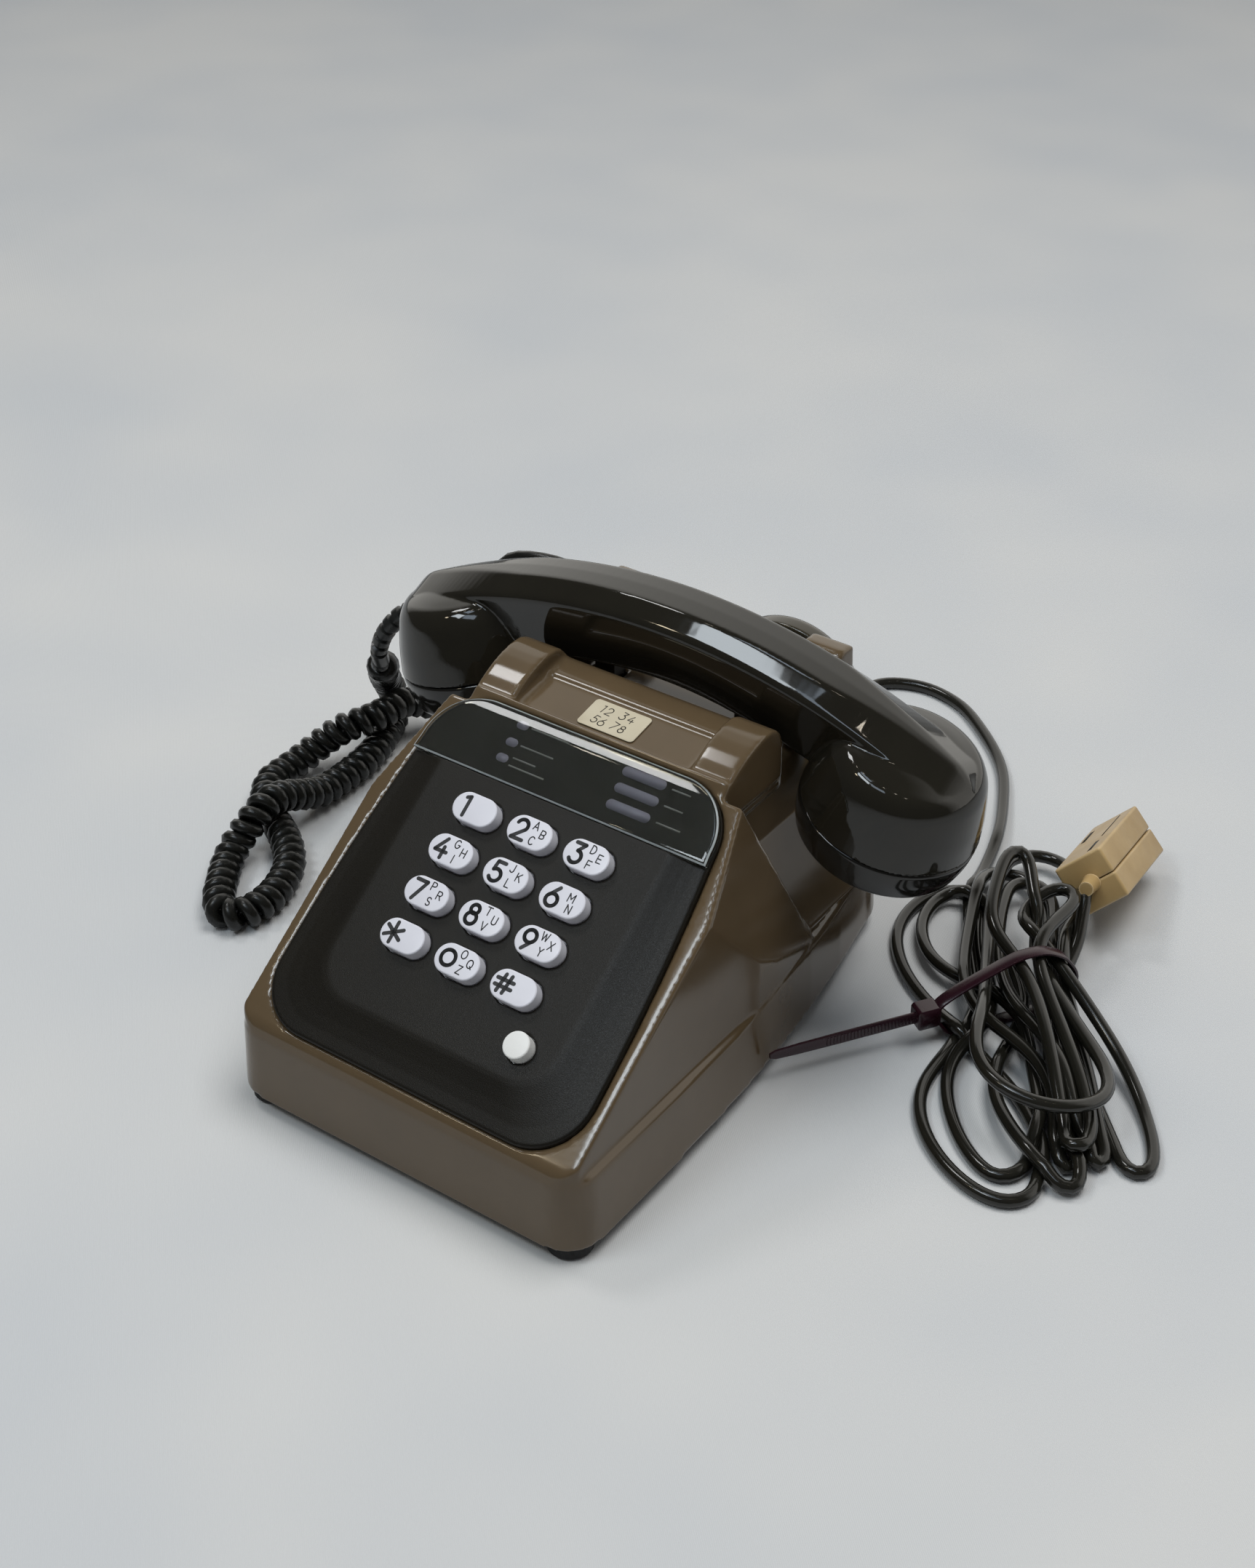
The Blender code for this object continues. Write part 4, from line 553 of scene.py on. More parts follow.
# The hank, loop by loop: through the tie, round a bight on one side, and back through the tie.
HANK = [
    (75, 135, 4), (84, 110, 6), waist(20, 5), (111, 25, 3), (121, 9, 3), (135, -2, 3), (150, -8, 3),
    (162, -8, 3), (168, -1, 3), (164, 12, 3), (152, 32, 5), waist(12, 6), (86, 67, 4), (73, 78, 3),
    (64, 90, 3), (61, 103, 3), (62, 117, 3), (68, 127, 3), (77, 129, 3), (85, 118, 4), (92, 100, 6),
    waist(28, 6), (112, 42, 6), (120, 28, 4), (133, 12, 3), (146, 3, 3), (155, 0, 6), (160, 7, 7),
    (158, 20, 6), (152, 35, 7), (142, 48, 8), waist(34, 9), (88, 78, 9), (75, 90, 8), (68, 104, 7),
    (68, 119, 7), (75, 126, 8), (86, 122, 9), (98, 104, 9), waist(40, 8), (131, 36, 9), (148, 20, 10),
    (163, 11, 9), (174, 7, 6), (179, 10, 6), (174, 18, 6), (161, 30, 8), waist(46, 9), (111, 118, 9),
    (101, 135, 9), (91, 144, 9), (80, 144, 9), (75, 133, 10), (84, 112, 11), waist(16, 14),
    (142, 52, 14), (158, 34, 12), (168, 18, 7), (172, 15, 5), (172, 24, 5), (158, 44, 8), waist(50, 8),
    (113, 116, 14), (108, 130, 13), (98, 138, 12), (89, 137, 12), (90, 122, 14), waist(30, 15),
    (150, 51, 20), (161, 38, 14), (172, 28, 8), (176, 21, 6), (179, 27, 6), (168, 42, 8),
    (150, 66, 12), waist(52, 15), (122, 108, 20), (119, 128, 17), (112, 144, 14), (100, 157, 10),
    (88, 160, 9), (80, 151, 10), (85, 128, 14), waist(22, 20), (121, 50, 26), (124, 36, 27),
    (130, 25, 27), (140, 18, 27), (152, 17, 26), (163, 21, 25), (171, 31, 23), (172, 43, 20),
    (164, 56, 18), (152, 64, 18), waist(44, 21), (112, 96, 25), (106, 110, 31), (100, 120, 36),
    (95, 124, 38), (93, 116, 38), (97, 101, 35), (104, 82, 31), waist(36, 26), (137, 60, 25),
    (147, 48, 22), (156, 36, 17), (165, 24, 11), (171, 17, 10), (173, 24, 10), (166, 38, 14),
    (150, 56, 19), waist(40, 26), (118, 88, 29), (121, 105, 30), (122, 117, 30), (116, 122, 30),
    (108, 116, 29), (110, 98, 26), waist(50, 22), (149, 78, 16), (163, 71, 10), (176, 59, 6),
    (186, 46, 4), (192, 34, 3), (190, 26, 3), (181, 31, 3), (168, 45, 4), (154, 62, 6), waist(54, 9),
    (127, 104, 13), (123.5, 115, 19), (121, 122.5, 24), (120.3, 129.2, 25.5),
]


def laid_cord(route, spacing, diameter, fixed):
    """A cord pushed out of itself and the table, and held inside the tie, until it lies at rest."""
    path = smooth_path(route, spacing)
    start = path.copy()
    rest = np.linalg.norm(np.diff(path, axis=0), axis=1)
    count = len(path)
    index = np.arange(count)
    apart = np.abs(index[:, None] - index[None, :]) * spacing > 2.2 * diameter
    head = np.array([*TIE_HEAD, 0.0])
    along = np.array([TIE_ALONG.x, TIE_ALONG.y, 0.0])
    across = np.array([-along[1], along[0], 0.0])
    radius = diameter / 2
    bending, weight, push_share, pull_share, clearance = 0.22, 0.06, 0.45, 0.4, 0.05
    for step in range(160):
        path[1:-1] += bending * (path[:-2] + path[2:] - 2 * path[1:-1])
        path += (start - path) * (0.035 if step < 120 else 0.01)
        path[:, 2] -= weight
        for _ in range(2):
            offset = path[:, None, :] - path[None, :, :]
            distance = np.sqrt((offset ** 2).sum(2)) + np.eye(count)
            push = np.where(apart & (distance < diameter), (diameter - distance) / distance, 0.0)
            path += push_share * (offset * push[:, :, None]).sum(1)
            s, t = (path - head) @ along, (path - head) @ across
            near = np.abs(t) < TIE_REACH
            inside = np.clip(s, TIE_ROOM[0] + radius, TIE_ROOM[1] - radius)
            path += np.where(near, inside - s, 0)[:, None] * along
            held = np.clip(path[:, 2], TIE_HEIGHT[0] + radius, TIE_HEIGHT[1] - radius)
            path[:, 2] = np.maximum(np.where(near, held, path[:, 2]), radius + clearance)
        for _ in range(3):                                   # back to its length
            gap = np.diff(path, axis=0)
            size = np.linalg.norm(gap, axis=1)
            move = gap * ((size - rest) / size * pull_share)[:, None]
            path[:-1] += move
            path[1:] -= move
        path[:fixed] = start[:fixed]
        path[-3:] = start[-3:]
    return path


COIL_WIRE, COIL_OUTSIDE = 5.1, 12.6
EAR_WIRE, LINE_WIRE = 4.5, 4.6


def coil_path():
    """The curly cord's wire: a helix along its route, eased in and out, and a straight tail."""
    path = smooth_path(CURLS, 0.4)
    normals, sidewise = directions(path)
    turns = round(np.linalg.norm(np.diff(path, axis=0), axis=1).sum() / (COIL_WIRE * 1.05))
    angle = np.linspace(0, 2 * pi * turns, len(path))[:, None]
    index = np.arange(len(path))
    ease = np.clip(np.minimum(index, len(path) - 1 - index) / 14, 0, 1)[:, None]
    radius = (COIL_OUTSIDE - COIL_WIRE) / 2 * ease
    helix = path + radius * (normals * np.cos(angle) + sidewise * np.sin(angle))
    return np.concatenate([helix, smooth_path([path[-1], *TAIL], 6)[1:]])


def make_cords():
    coil = coil_path() * MM
    cord = tube("curly_cord", coil, COIL_WIRE * MM, COIL, 2)
    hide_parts("handset_cord", "handset_cord_tail")

    ear = smooth_path(EAR_CORD, 5) * MM
    cord = tube("earpiece_lead", ear, EAR_WIRE * MM, COIL, 3)
    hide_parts("earpiece_cord")

    line = laid_cord(LINE_START + HANK, 3.0, LINE_WIRE, 90) * MM
    cord = tube("line_lead", line, LINE_WIRE * MM, CORD, 4)
    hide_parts("line_cord", "line_cord_bundle")
    return line / MM


LINE = make_cords()


# ------------------------ frames in millimetres

SLOPE = radians(35.04)
KEY_TOPS = (0, -53.2, 80.0)       # zero of the slope's frame: the middle of the keys, at their tops
TRAY_FRONT = (4.1, 107.5)         # (y, z) of the sticker's tray
TRAY_BACK = (21.9, 110.8)
CUP_MIDDLE = (82.2, 47.85, 89.3)
CUP_TILT = radians(16.5)
CUP_RADIUS = 30.2
EAR_AXIS = (11.3, 104.0, 78.8)
EAR_RADIUS = 29.0


def placed(origin, rotation=Matrix.Identity(4)):
    """A frame drawn in millimetres, at a place in the base's own frame."""
    return Matrix.Translation(Vector(origin) * MM) @ rotation.to_4x4() @ Matrix.Scale(MM, 4)


BASE_FRAME = placed((0, 0, 0))
SLOPE_FRAME = placed(KEY_TOPS, Matrix.Rotation(SLOPE, 4, "X"))
TRAY_TILT = atan2(TRAY_BACK[1] - TRAY_FRONT[1], TRAY_BACK[0] - TRAY_FRONT[0])
TRAY_FRAME = placed((0, *TRAY_FRONT), Matrix.Rotation(TRAY_TILT, 4, "X"))
EAR_FRAME = placed(EAR_AXIS, Matrix(((1, 0, 0), (0, 0, 1), (0, -1, 0))))


def cup_frame(side):
    """z up a handset cup's axis, x outwards, zero in the seam; side is +1 right, -1 left."""
    cosine, sine = cos(CUP_TILT), sin(CUP_TILT)
    turn = Matrix(((side * cosine, 0, side * sine), (0, side, 0), (-sine, 0, cosine)))
    return placed((side * CUP_MIDDLE[0], CUP_MIDDLE[1], CUP_MIDDLE[2]), turn)


# ------------------------ case

def make_case():
    moulded("case_shell", "case_moulding", BROWN, 0.7, 11)
    moulded("earpiece_cradle", "cradle_moulding", BROWN, 0.5, 4)
    dress(FLOOR_BLACK, "base_plate")
    dress(RUBBER, "foot_front_right", "foot_front_left", "foot_rear_right", "foot_rear_left")
    dress(CAP, "line_cord_grommet", "earpiece_cord_grommet", "handset_cord_grommet")


# ------------------------ keypad

PLATE_RIM, PLATE_PLATEAU, PLATE_BOTTOM = -6.5, -4.1, -9.2      # heights from the keys' tops
PLATE_FOOT, PLATE_HEAD, PLATE_CORNER = -64.8, 60.5, 20         # the plate's ends along the slope
COVER_FOOT = 35.4                                              # where the clear cover begins
CARD_TOP = -6.09
KEY_LENGTH, KEY_WIDTH = 16.4, 10.0
KEY_PITCH = (21.85, 15.4)
RECALL_PLACE, RECALL_RADIUS = (32.2, -38.3), 4.5
KEY_NAMES = ("1", "2", "3", "4", "5", "6", "7", "8", "9", "star", "0", "hash")
LETTERS = {"2": "ABC", "3": "DEF", "4": "GHI", "5": "JKL", "6": "MN",
           "7": "PRS", "8": "TUV", "9": "WXY", "0": "OQZ"}
THREE_PLACES = ((1.4, 2.9), (4.7, 0.9), (2.2, -2.1))
TWO_PLACES = ((2.8, 1.7), (3.6, -1.9))


def key_place(number):
    row, column = divmod(number, 3)
    return (column - 1) * KEY_PITCH[0], (1.5 - row) * KEY_PITCH[1]


def plate_half_width(v):
    """The plate bows in towards its head."""
    return 62.0 - 0.00068 * max(0.0, v + 45) ** 2


def head_corner(inset, steps):
    """The right corner at the head of the plate and of the cover."""
    head, corner = PLATE_HEAD - inset, PLATE_CORNER - inset
    across = plate_half_width(head - corner) - inset - corner
    return arc((across, head - corner), corner, 0, 90, steps)


def plate_outline(inset):
    """The keypad plate's outline on the slope, drawn in by inset."""
    foot, corner = PLATE_FOOT + inset, PLATE_CORNER - inset
    right = arc((plate_half_width(foot) - inset - corner, foot + corner), corner, -90, 0, 14)
    right += [(plate_half_width(v) - inset, v) for v in range(-36, 36, 8)]
    return mirrored(right + head_corner(inset, 14))


def plateau_outline():
    """The raised middle of the plate, with as many points as its outline."""
    wide, foot, head, corner = 44.2, -47.5, 57.5, 14
    right = arc((wide - corner, foot + corner), corner, -90, 0, 14)
    right += [(wide, v) for v in np.linspace(-30, 38, 9)]
    right += arc((wide - corner, head - corner), corner, 0, 90, 14)
    return mirrored(right)


def make_plate():
    """The plate: an edge, a border that swells to the plateau, openings, a seat for card and cover."""
    rim, middle = plate_outline(0.9), plateau_outline()
    rings = [[(x, y, h) for x, y in plate_outline(inset)]
             for inset, h in ((0, PLATE_BOTTOM), (0, PLATE_RIM - 0.9), (0.25, PLATE_RIM - 0.3))]
    swell = ((0, 0), (0.25, 0.16), (0.5, 0.42), (0.7, 0.68), (0.86, 0.9), (0.95, 0.985), (1, 1))
    for share, rise in swell:
        h = PLATE_RIM + (PLATE_PLATEAU - PLATE_RIM) * rise
        rings.append([(a + (c - a) * share, b + (d - b) * share, h)
                      for (a, b), (c, d) in zip(rim, middle)])
    gap, below = 0.35, -12
    hole = stadium(KEY_LENGTH + 2 * gap, KEY_WIDTH + 2 * gap)
    holes = [prism([(x + u, y + v) for x, y in hole], below, 2) for u, v in map(key_place, range(12))]
    holes.append(prism(arc(RECALL_PLACE, RECALL_RADIUS + gap, 0, 345, 23), below, 2))
    room = prism([(-39, -45), (39, -45), (39, 32.5), (-39, 32.5)], below, PLATE_PLATEAU - 2.5)
    seat = prism([(-80, COVER_FOOT), (80, COVER_FOOT), (80, 80), (-80, 80)], PLATE_RIM - 0.4, 5)
    melted("keypad_face", loft(rings), [join_meshes(holes), join_meshes([room, seat])], PLATE,
           SLOPE_FRAME, 0.36, 4, "keypad_plate")


def key_form(outlines, edge):
    """A key cap: a flange below the plate, straight sides and a rounded top edge."""
    rows = [(1.0, -8.1), (1.0, -6.9), (0, -6.9), (0.0, -edge)]
    rows += [(-edge * (1 - cos(radians(a))), -edge + edge * sin(radians(a)))
             for a in (18, 36, 54, 72, 90)]
    return loft([[(x, y, h) for x, y in outlines(margin)] for margin, h in rows])


def make_keys():
    for number, name in enumerate(KEY_NAMES):
        frame = SLOPE_FRAME @ Matrix.Translation((*key_place(number), 0))
        body = f"key_{name}"
        form = key_form(lambda margin: stadium(KEY_LENGTH + 2 * margin, KEY_WIDTH + 2 * margin), 0.55)
        make(f"keycap_{name}", form, KEY, frame, 40, body, body)
        figure = {"star": "*", "hash": "#"}.get(name, name)
        drawn(f"figure_{name}", [(figure, -3.3, 0, 1.12, 0)], 1.3, LEGEND, frame, body)
        if name in LETTERS:
            places = THREE_PLACES if len(LETTERS[name]) == 3 else TWO_PLACES
            marks = [(letter, x, y, 0.68, 0) for letter, (x, y) in zip(LETTERS[name], places)]
            drawn(f"letters_{name}", marks, 0.4, LEGEND, frame, body)
    frame = SLOPE_FRAME @ Matrix.Translation((*RECALL_PLACE, 0))
    form = key_form(lambda margin: arc((0, 0), RECALL_RADIUS + margin, 0, 352.5, 47), 0.6)
    make("recall_cap", form, RECALL, frame, 40, "recall_button", "recall")


def cover_ring(inset, h, fall):
    """An outline of the cover, drawn in by inset, that falls away towards its head."""
    foot = COVER_FOOT + inset
    right = [(plate_half_width(foot) - inset, foot)] + head_corner(inset, 36)
    return [(x, y, h - fall * max(0, y - 53) ** 2) for x, y in mirrored(right)]


def make_window():
    """The clear cover with its lens-like edge, a pale ring painted as the highlight along that edge,
    and the printed card behind it.
    """
    under, over, fall = -5.8, -4.0, 0.0191
    rows = [(0.35, under), (0.3, -4.9), (0.45, -4.4), (0.9, -4.08), (1.6, over), (2.6, over)]
    rings = [cover_ring(inset, h, fall * (h - under) / 1.8) for inset, h in rows]
    cover = loft(rings, caps=False)
    cover.verts.ensure_lookup_table()
    count = len(rings[0])
    for ring in (0, len(rows) - 1):
        row = cover.verts[ring * count:(ring + 1) * count]
        for k in range(count // 2 - 1):
            cover.faces.new((row[k], row[k + 1], row[-k - 2], row[-k - 1]))
    bmesh.ops.recalc_face_normals(cover, faces=cover.faces)
    make("label_cover", cover, WINDOW, SLOPE_FRAME, 50, "label_window")
    # a pale ring along the cover's edge: painted highlight standing in for the light in the lens-like
    # edge
    rims = [cover_ring(inset, h, fall)
            for inset, h in ((0.35, -4.5), (0.85, -4.03), (0.85, -4.12), (0.5, -4.6))]
    make("label_cover_highlight_ring", loft(rims, closed=True), EDGE_HIGHLIGHT, SLOPE_FRAME, 50)
    dress(CARD, "label_card")
    fields = [(u, v, 4.6, 2.9) for u, v in ((-24.9, 55.8), (-25.4, 49.3), (-25.7, 43.4))]
    fields += [(u, v, 16.5, 3.4) for u, v in ((23.5, 54.6), (23.8, 48.8), (24.0, 42.9))]
    marks = [prism([(x + u, y + v) for x, y in stadium(length, width, 8)], 0, PRINT)
             for u, v, length, width in fields]
    card = SLOPE_FRAME @ Matrix.Translation((0, 0, CARD_TOP))
    make("card_fields", join_meshes(marks), MARKS, card, 0)
    lines = ((-21.5, 55.6, 15), (-21.9, 49.0, 13), (-22.2, 44.4, 9), (-22.3, 41.6, 14),
             (34, 54.3, 7), (34.3, 48.5, 7), (34.6, 42.6, 9))
    rules = [prism([(u, v), (u + length, v), (u + length, v + 0.55), (u, v + 0.55)], 0, PRINT)
             for u, v, length in lines]
    make("card_rules", join_meshes(rules), RULES, card, 0)


def make_sticker():
    """A paper label on the tray with a made-up number in handwriting."""
    face = TRAY_FRAME @ Matrix.Translation((-1.1, 9.0, 0.08))
    form = loft([[(x, y, h) for x, y in rounded_rectangle(22 - 2 * inset, 12.5 - 2 * inset, 1.4)]
                 for inset, h in ((0, 0), (0, 0.22), (0.08, 0.3))])
    make("number_label", form, PAPER, face, 40, "number_sticker")
    marks = [("1", -6.2, 2.7, 0.56, -8), ("2", -3.6, 2.4, 0.56, -4), ("3", 1.6, 2.8, 0.58, -10),
             ("4", 4.9, 2.5, 0.55, -2), ("5", -5.9, -2.5, 0.57, -9), ("6", -3.0, -2.8, 0.58, -6),
             ("7", 1.5, -2.4, 0.58, -12), ("8", 4.7, -2.7, 0.54, -5)]
    drawn("label_writing", marks, 0.36, INK, face @ Matrix.Translation((0, 0, 0.3)))


# ------------------------ handset

HANDLE_TOP, SPINE_RADIUS, HANDLE_END = 139.0, 228.0, 111.4


def flat(points):
    return [tuple(point[:2]) for point in points]


def rounded(points, radius, steps):
    """A flat polyline with its inner corners rounded."""
    return flat(eased([(*point, 0) for point in points], radius, steps))


def cup_half_width(x, z):
    """Half the width of a cup at a place, so that the handle ends inside it."""
    dx, dz = abs(x) - CUP_MIDDLE[0], z - CUP_MIDDLE[2]
    out = dx * cos(CUP_TILT) - dz * sin(CUP_TILT)
    up = dx * sin(CUP_TILT) + dz * cos(CUP_TILT)
    if out < 0 or up < 0:
        return CUP_RADIUS
    radius = np.interp(up, [0, 8, 16, 22, 25], [30.2, 29.0, 27.0, 24.8, 23.2]) - 0.3
    return sqrt(max(radius ** 2 - out ** 2, 0.5))


def handle_section(x):
    """The handle cut square to its length: a narrow spine, two facets and a narrow belly."""
    share = min(1.0, abs(x) / 95)
    swell = share * share * (3 - 2 * share)
    ridge = np.interp(abs(x), [0, 60, 83, 98, 112], [7.5, 7.2, 3.6, 1.8, 0.8])
    spine = HANDLE_TOP - SPINE_RADIUS + sqrt(SPINE_RADIUS ** 2 - x ** 2)
    top = spine - 8 + sqrt(64 - max(0.0, abs(x) - 103.5) ** 2)
    sag = 0.0022 * x ** 2
    half = [(0, top + 0.3), (ridge, top), (13, top - 5.0), (13.8, top - 6.8),
            (12.5, top - 13 - 4 * swell), (7.5 + 5 * swell, 110.0 - sag), (0, 109.6 - sag)]
    right = rounded([(min(width, cup_half_width(x, z)), z) for width, z in half], 0.9, 3)
    outline = right + [(-y, z) for y, z in reversed(right[1:-1])]
    return [(x, CUP_MIDDLE[1] + y, z) for y, z in outline]


def cup_profile():
    """A cup's side from the middle of its top down to the seam: a low dome and a cone."""
    points = [(0, 28.4), (8, 28.0), (15, 26.8), (22.6, 24.6), (25.6, 20.4), (27.0, 16), (29.0, 8),
              (CUP_RADIUS, 0)]
    return rounded(points, 2.6, 5)


def make_handset():
    stations = HANDLE_END * np.sin(np.linspace(-pi / 2, pi / 2, 97))
    shell = [loft([handle_section(x) for x in stations])]
    for side in (1, -1):
        cup = lathe([*cup_profile(), (0, 0)])
        cup.transform(BASE_FRAME.inverted() @ cup_frame(side))
        shell.append(cup)
    melted("handset_moulding", join_meshes(shell), [], BLACK, BASE_FRAME, 0.5, 3, "handset_shell",
           "handset")
    outside = [(24.4, 0), (CUP_RADIUS, -0.3), (29.8, -6), (28.2, -12.4), (24.4, -15), (20, -15)]
    face = [(20, -15), (17, -14.4), (8, -13.6), (0, -13.4)]
    inside = [(0, -10.6), (24.4, -10.6), (24.4, 0)]
    cap = [*flat(eased(outside, 1.6, 5)), *flat(eased(face, 3, 5)), *inside]
    for side, node in ((1, "mouth_cap"), (-1, "ear_cap")):
        make(f"{node}_turned", lathe(cap), CAP, cup_frame(side), 40, node, "handset")
    dress(ALUMINIUM, "receiver_capsule", "transmitter_capsule", "earpiece_capsule")


def make_boot():
    """The ribbed rubber boot round the curly cord where it leaves the handset."""
    path = smooth_path(BOOT, 0.4)
    run = run_length(path)
    radii = 4.0 - 0.9 * run / run[-1]
    ribbed = (run > 6) & (run < run[-1] - 7)
    pitch, groove = 4.4, 1.5
    radii = np.where(ribbed & (np.mod(run, pitch) < groove), radii - 0.9, radii)
    radii[0] = radii[-1] = 3.0
    make("cord_boot", sweep(path, radii), BOOT_RUBBER, BASE_FRAME, 35, "handset_cord_boot", "handset")


# ------------------------ second earpiece

def make_earpiece():
    shell = [(0, 7), (17, 6.4), (25.5, 3.6), (EAR_RADIUS, -0.4), (EAR_RADIUS, -7), (26, -7)]
    shell = flat(eased(shell, 3.0, 6)) + [(26, 0), (18, 4), (0, 4)]
    make("earpiece_turned", lathe(shell), OLIVE, EAR_FRAME, 35, "earpiece_shell", "second_earpiece")
    cap = [(25.7, -7.3), (27.3, -7.3), (26.4, -10.8), (22.5, -15), (12, -14.2), (0, -13.4)]
    cap = flat(eased(cap, 2.0, 6)) + [(0, -8.8), (25.7, -8.8), (25.7, -7.3)]
    make("earpiece_cap_turned", lathe(cap), CAP, EAR_FRAME, 35, "earpiece_cap", "second_earpiece")


# ------------------------ tie and plug

def hull(points):
    """The outline round flat points, counterclockwise."""
    points = sorted(map(tuple, points))

    def half(run):
        out = []
        for x, y in run:
            while len(out) > 1:
                (ax, ay), (bx, by) = out[-2], out[-1]
                if (bx - ax) * (y - ay) - (by - ay) * (x - ax) > 0:
                    break
                out.pop()
            out.append((x, y))
        return out[:-1]

    return half(points) + half(points[::-1])


def make_tie(line):
    """The cable tie pulled round the strands, its ratchet head and its toothed tail."""
    along = Vector((TIE_ALONG.x, TIE_ALONG.y, 0))
    across = Vector((-along.y, along.x, 0))
    head = Vector((*TIE_HEAD, 0))
    front = 3.2                                   # where the band leaves the head
    rims = [(front, 10), (front, 14)]
    for point in line:
        offset = Vector(point) - head
        if abs(offset.dot(across)) < 3.2:         # the strands that the band crosses
            rims += arc((offset.dot(along), point[2]), LINE_WIRE / 2 + 0.75, 0, 337.5, 15)
    outline = [(max(s, front), min(max(z, 0.9), 31.9)) for s, z in hull(rims)]
    loop = smooth_path([(s, z, 0) for s, z in outline + outline[:1]], 1.2)[:-1, :2]
    for _ in range(6):
        loop = (np.roll(loop, 1, 0) + 2 * loop + np.roll(loop, -1, 0)) / 4
    middle = loop.mean(0)
    band = [(-2.4, -0.3), (-2.1, -0.55), (2.1, -0.55), (2.4, -0.3)]
    band += [(-side, -depth) for side, depth in band]
    sections = []
    for before, (s, z), after in zip(np.roll(loop, 1, 0), loop, np.roll(loop, -1, 0)):
        tangent = (after - before) / np.linalg.norm(after - before)
        outward = np.array([tangent[1], -tangent[0]])
        outward *= np.sign(outward @ (np.array([s, z]) - middle))
        sections.append([tuple(head + along * (s + outward[0] * depth) + across * side
                               + Vector((0, 0, z + outward[1] * depth))) for side, depth in band])
    ring = loft(sections, closed=True)
    frame = Matrix(((along.x, 0, -across.x, head.x), (along.y, 0, -across.y, head.y),
                    (0, 1, 0, 0), (0, 0, 0, 1)))
    block = loft([[(x, y + 12, z) for x, y in rounded_rectangle(8.4 - 2 * inset, 8 - 2 * inset, 1.4)]
                  for inset, z in ((0.8, -3.6), (0, -2.9), (0, 2.9), (0.8, 3.6))])
    tail_height, tooth_pitch = 11.8, 1.25
    tail = [loft([[(-3 - reach, tail_height + y, z)
                   for y, z in rounded_rectangle(4.7 * narrow, 1.1, 0.4, 2)]
                  for reach, narrow in ((0, 1), (30, 1), (44, 0.92), (52, 0.75), (54, 0.4))])]
    tooth = ((-0.3, -1.6), (0.3, -1.6), (0.3, 1.6), (-0.3, 1.6))
    tail += [prism([(-5 - tooth_pitch * k + x, tail_height + y) for x, y in tooth], -0.75, 0.75)
             for k in range(26)]
    for piece in (block, *tail):
        piece.transform(frame)
    make("tie_strap", join_meshes([ring, block, *tail]), TIE, BASE_FRAME, 40, "cable_tie")


PLUG_AT = (113, 179, 27)            # the corner that its frame starts from
PLUG_SIZE = (49, 19.6, 19.4)


def make_plug():
    """The plug: two worn halves with a fine parting line between them, and flat dark strips painted as
    the shade inside its slots.
    """
    along = Vector((7, -47, 12)).normalized()
    down = Vector((14, -1, -14))
    down = (down - along * down.dot(along)).normalized()
    across = along.cross(down)
    if across.x > 0:
        across = -across
    frame = placed(PLUG_AT, Matrix((along, down, across)).transposed())
    length, width, depth = PLUG_SIZE
    parting = 0.12
    halves = (("plug_body", 0, width / 2 - parting), ("plug_cover", width / 2 + parting, width))
    for node, low, high in halves:
        form = prism([(0, low), (length, low), (length, high), (0, high)], 0.15, depth)
        bmesh.ops.bevel(form, geom=form.edges[:], offset=1.1, segments=4, profile=0.6, affect="EDGES")
        make(f"{node}_half", form, PLUG, frame, 35, node)
    # the slots are not cut: flat dark strips on the face are painted shade where the openings are
    slots = [prism([(x, -0.05), (x + run, -0.05), (x + run, 0.03), (x, 0.03)], z, z + wide)
             for x, run, z, wide in ((4, 24, 5.6, 0.7), (34, 11, 5.0, 1.6), (9, 13, 15.4, 1.8))]
    make("plug_slot_shade", join_meshes(slots), SLOT_SHADE, frame, 0)
    relief = lathe([(0, 7), (2.6, 7), (2.7, 6), (3.1, 1.0), (3.3, 0), (0, 0)], 32)
    turn = along.to_track_quat("Z", "Y").to_matrix()
    end = Vector(PLUG_AT) + along * length + down * width / 2 + across * depth / 2
    make("plug_relief", relief, PLUG, placed(end, turn), 35)


# ------------------------ hook and works

def make_inside():
    """Little of this shows from outside, so the CAD's own shapes stay."""
    dress(CAP, "hook_plunger_right", "hook_plunger_left", "hook_switch", "terminal_block")
    dress(STEEL, "hook_lever", "bell_clapper", "ringer_frame", "transformer")
    dress(BELL, "gong_left", "gong_right")
    dress(COPPER, "ringer_coil")
    dress(CAPACITOR, "capacitor")
    dress(BOARD, "keypad_board", "circuit_board")
    dress(RUBBER, "key_mat")


make_case()
make_plate()
make_keys()
make_window()
make_sticker()
make_handset()
make_boot()
make_earpiece()
make_tie(LINE)
make_plug()
make_inside()


# ------------------------ stage

grid = bmesh.new()
bmesh.ops.create_grid(grid, x_segments=2, y_segments=2, size=4.0)
floor = put("table_cloth", mesh_of(grid, "table_cloth"))
cloth = Finish("cloth_weave", (196, 198, 198), 0.85)
cloth.colour(cloth.ramp(cloth.noise(5, 2), (0.35, (191, 193, 194)), (0.65, (200, 200, 198))))
weave = cloth.node("ShaderNodeTexWave", Scale=760.0, Distortion=1.2, Detail=2.0,
                   bands_direction="DIAGONAL")
cloth.link(cloth.place.outputs["Object"], weave.inputs["Vector"])
cloth.bump(weave.outputs["Fac"], 0.25, 0.0002)
floor.data.materials.append(cloth.made)

world = bpy.data.worlds.new("studio")
world.use_nodes = True
sky = world.node_tree


def sky_node(kind, *links, **values):
    """A world node: links are (source, socket), values are set on sockets."""
    made = sky.nodes.new(kind)
    for key, value in values.items():
        made.inputs[key.replace("_", " ")].default_value = value
    for source, socket in links:
        sky.links.new(source, made.inputs[socket])
    return made


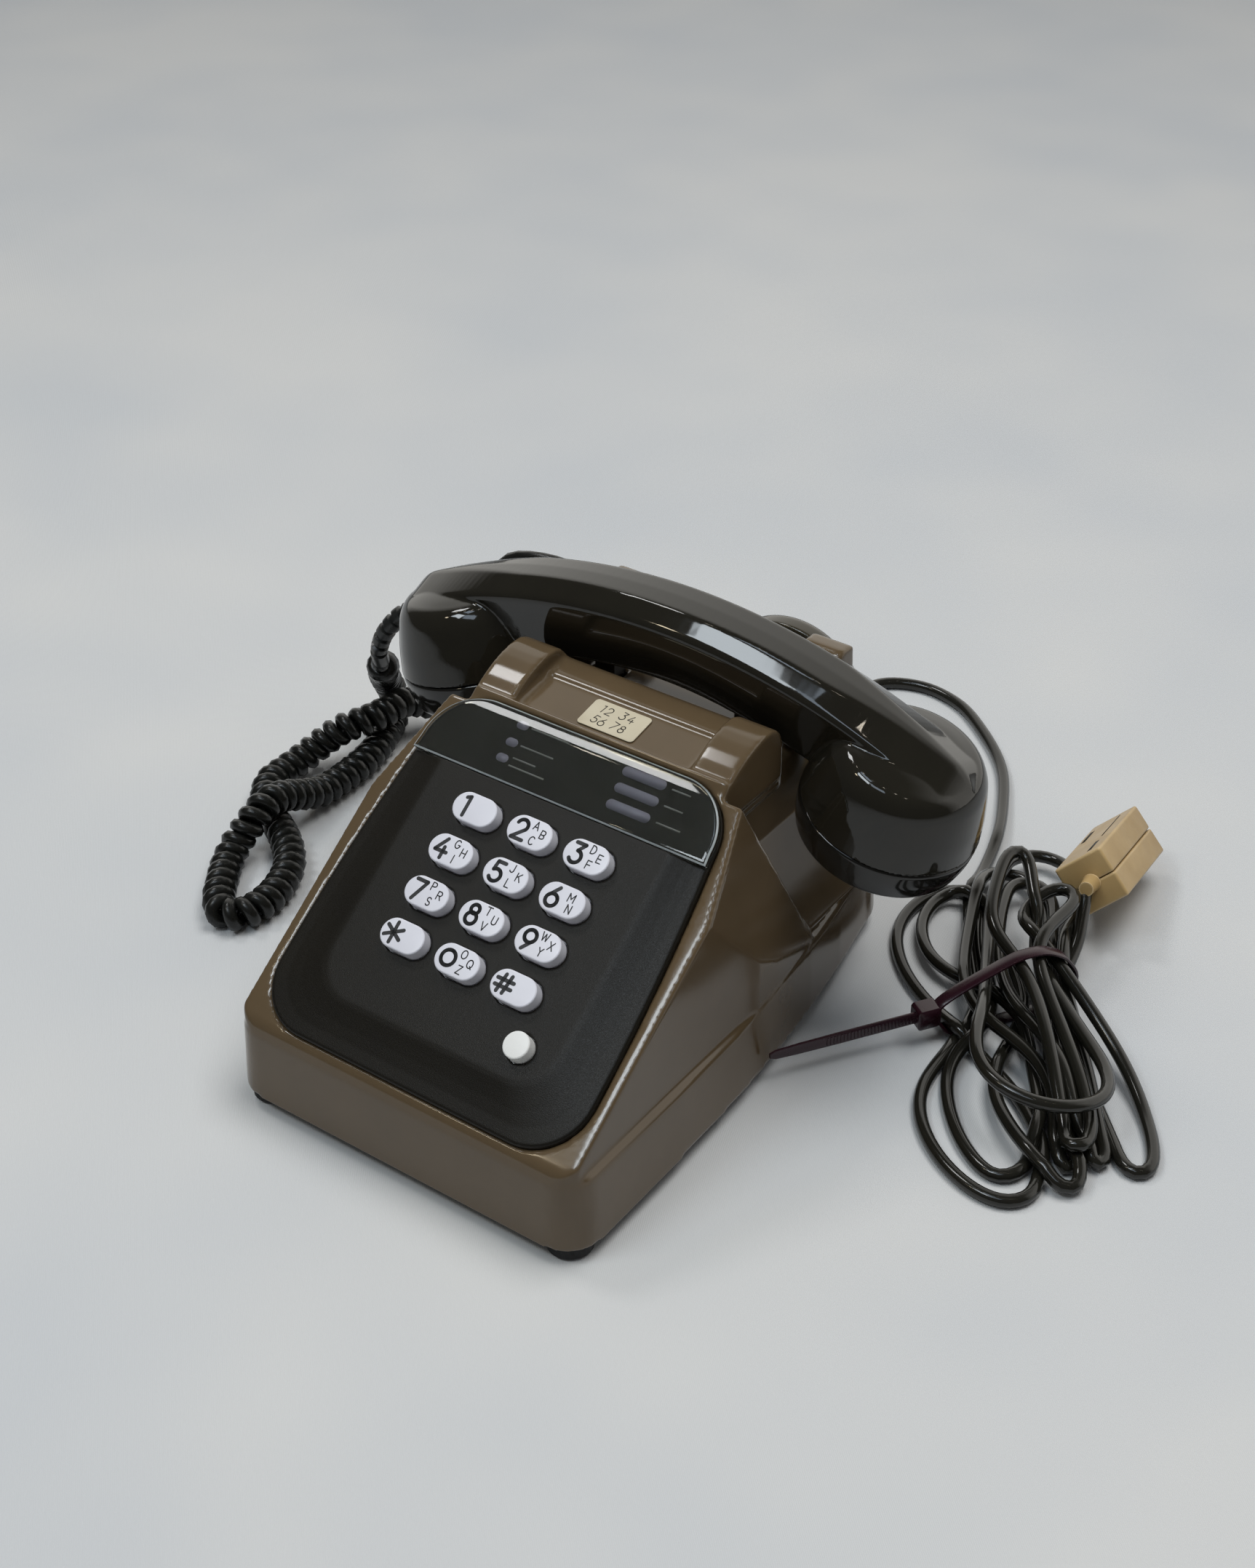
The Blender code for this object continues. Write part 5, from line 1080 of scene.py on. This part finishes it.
# The lit room, and the darker one seen in reflections: a pale wall behind, dark in front and overhead.
place = sky.nodes.new("ShaderNodeTexCoord").outputs["Generated"]
direction = sky_node("ShaderNodeSeparateXYZ", (place, "Vector"))
behind = sky_node("ShaderNodeMapRange", (direction.outputs["Y"], "Value"), From_Min=0.1, From_Max=0.4)
below = sky_node("ShaderNodeMapRange", (direction.outputs["Z"], "Value"), From_Min=0.92, From_Max=0.7)
wall = sky_node("ShaderNodeMath", (behind.outputs["Result"], 0), (below.outputs["Result"], 1))
wall.operation = "MULTIPLY"
glow = sky_node("ShaderNodeMapRange", (wall.outputs["Value"], "Value"), To_Min=0.08, To_Max=1.15)
seen = sky_node("ShaderNodeBackground", (glow.outputs["Result"], "Strength"),
                Color=(0.94, 0.92, 0.87, 1))
room = sky.nodes["Background"]
room.inputs["Color"].default_value = (0.87, 0.88, 0.90, 1)
room.inputs["Strength"].default_value = 0.25
glossy = sky.nodes.new("ShaderNodeLightPath").outputs["Is Glossy Ray"]
chosen = sky_node("ShaderNodeMixShader", (glossy, "Fac"), (room.outputs["Background"], 1),
                  (seen.outputs["Background"], 2))
sky.links.new(chosen.outputs["Shader"], sky.nodes["World Output"].inputs["Surface"])
scene.world = world


def lamp(name, location, target, size, power, colour=(1, 1, 1)):
    """A rectangular lamp that faces its target; the gloss of the telephone mirrors its shape."""
    light = bpy.data.lights.new(name, "AREA")
    light.shape = "RECTANGLE"
    light.size, light.size_y = size
    light.energy = power
    light.color = colour
    item = put(name, light)
    item.location = location
    item.rotation_euler = (Vector(target) - Vector(location)).to_track_quat("-Z", "Y").to_euler()
    return item


WARM, COOL = (1, 0.9, 0.75), (0.72, 0.85, 1)
lamp("overhead", (0.4, 0.3, 1.8), (0.1, 0, 0), (1.2, 0.8), 20).visible_glossy = False
lamp("window", (-0.5, -1.0, 1.78), (0, 0, 0.12), (0.62, 0.34), 8, (0.86, 0.94, 1))
lamp("second_window", (0.16, -1.04, 1.78), (0, 0, 0.12), (0.6, 0.3), 2.2, COOL)
lamp("skylight", (-0.3, -0.6, 2.05), (0, 0, 0.1), (0.5, 0.3), 2.0, COOL)
lamp("strip", (-1.04, 0.0, 1.8), (0, 0, 0.1), (0.35, 0.4), 5.5)
lamp("warm", (-0.92, -1.04, 1.5), (0, 0, 0.1), (0.12, 0.12), 0.9, (1, 0.86, 0.62))
for spot in range(7):
    lamp(f"spot_{spot}", (-1.2 + 0.4 * spot, -0.35, 2.2), (0, 0, 0.1), (0.05, 0.05), 0.15, WARM)
scene.view_settings.view_transform = "Standard"
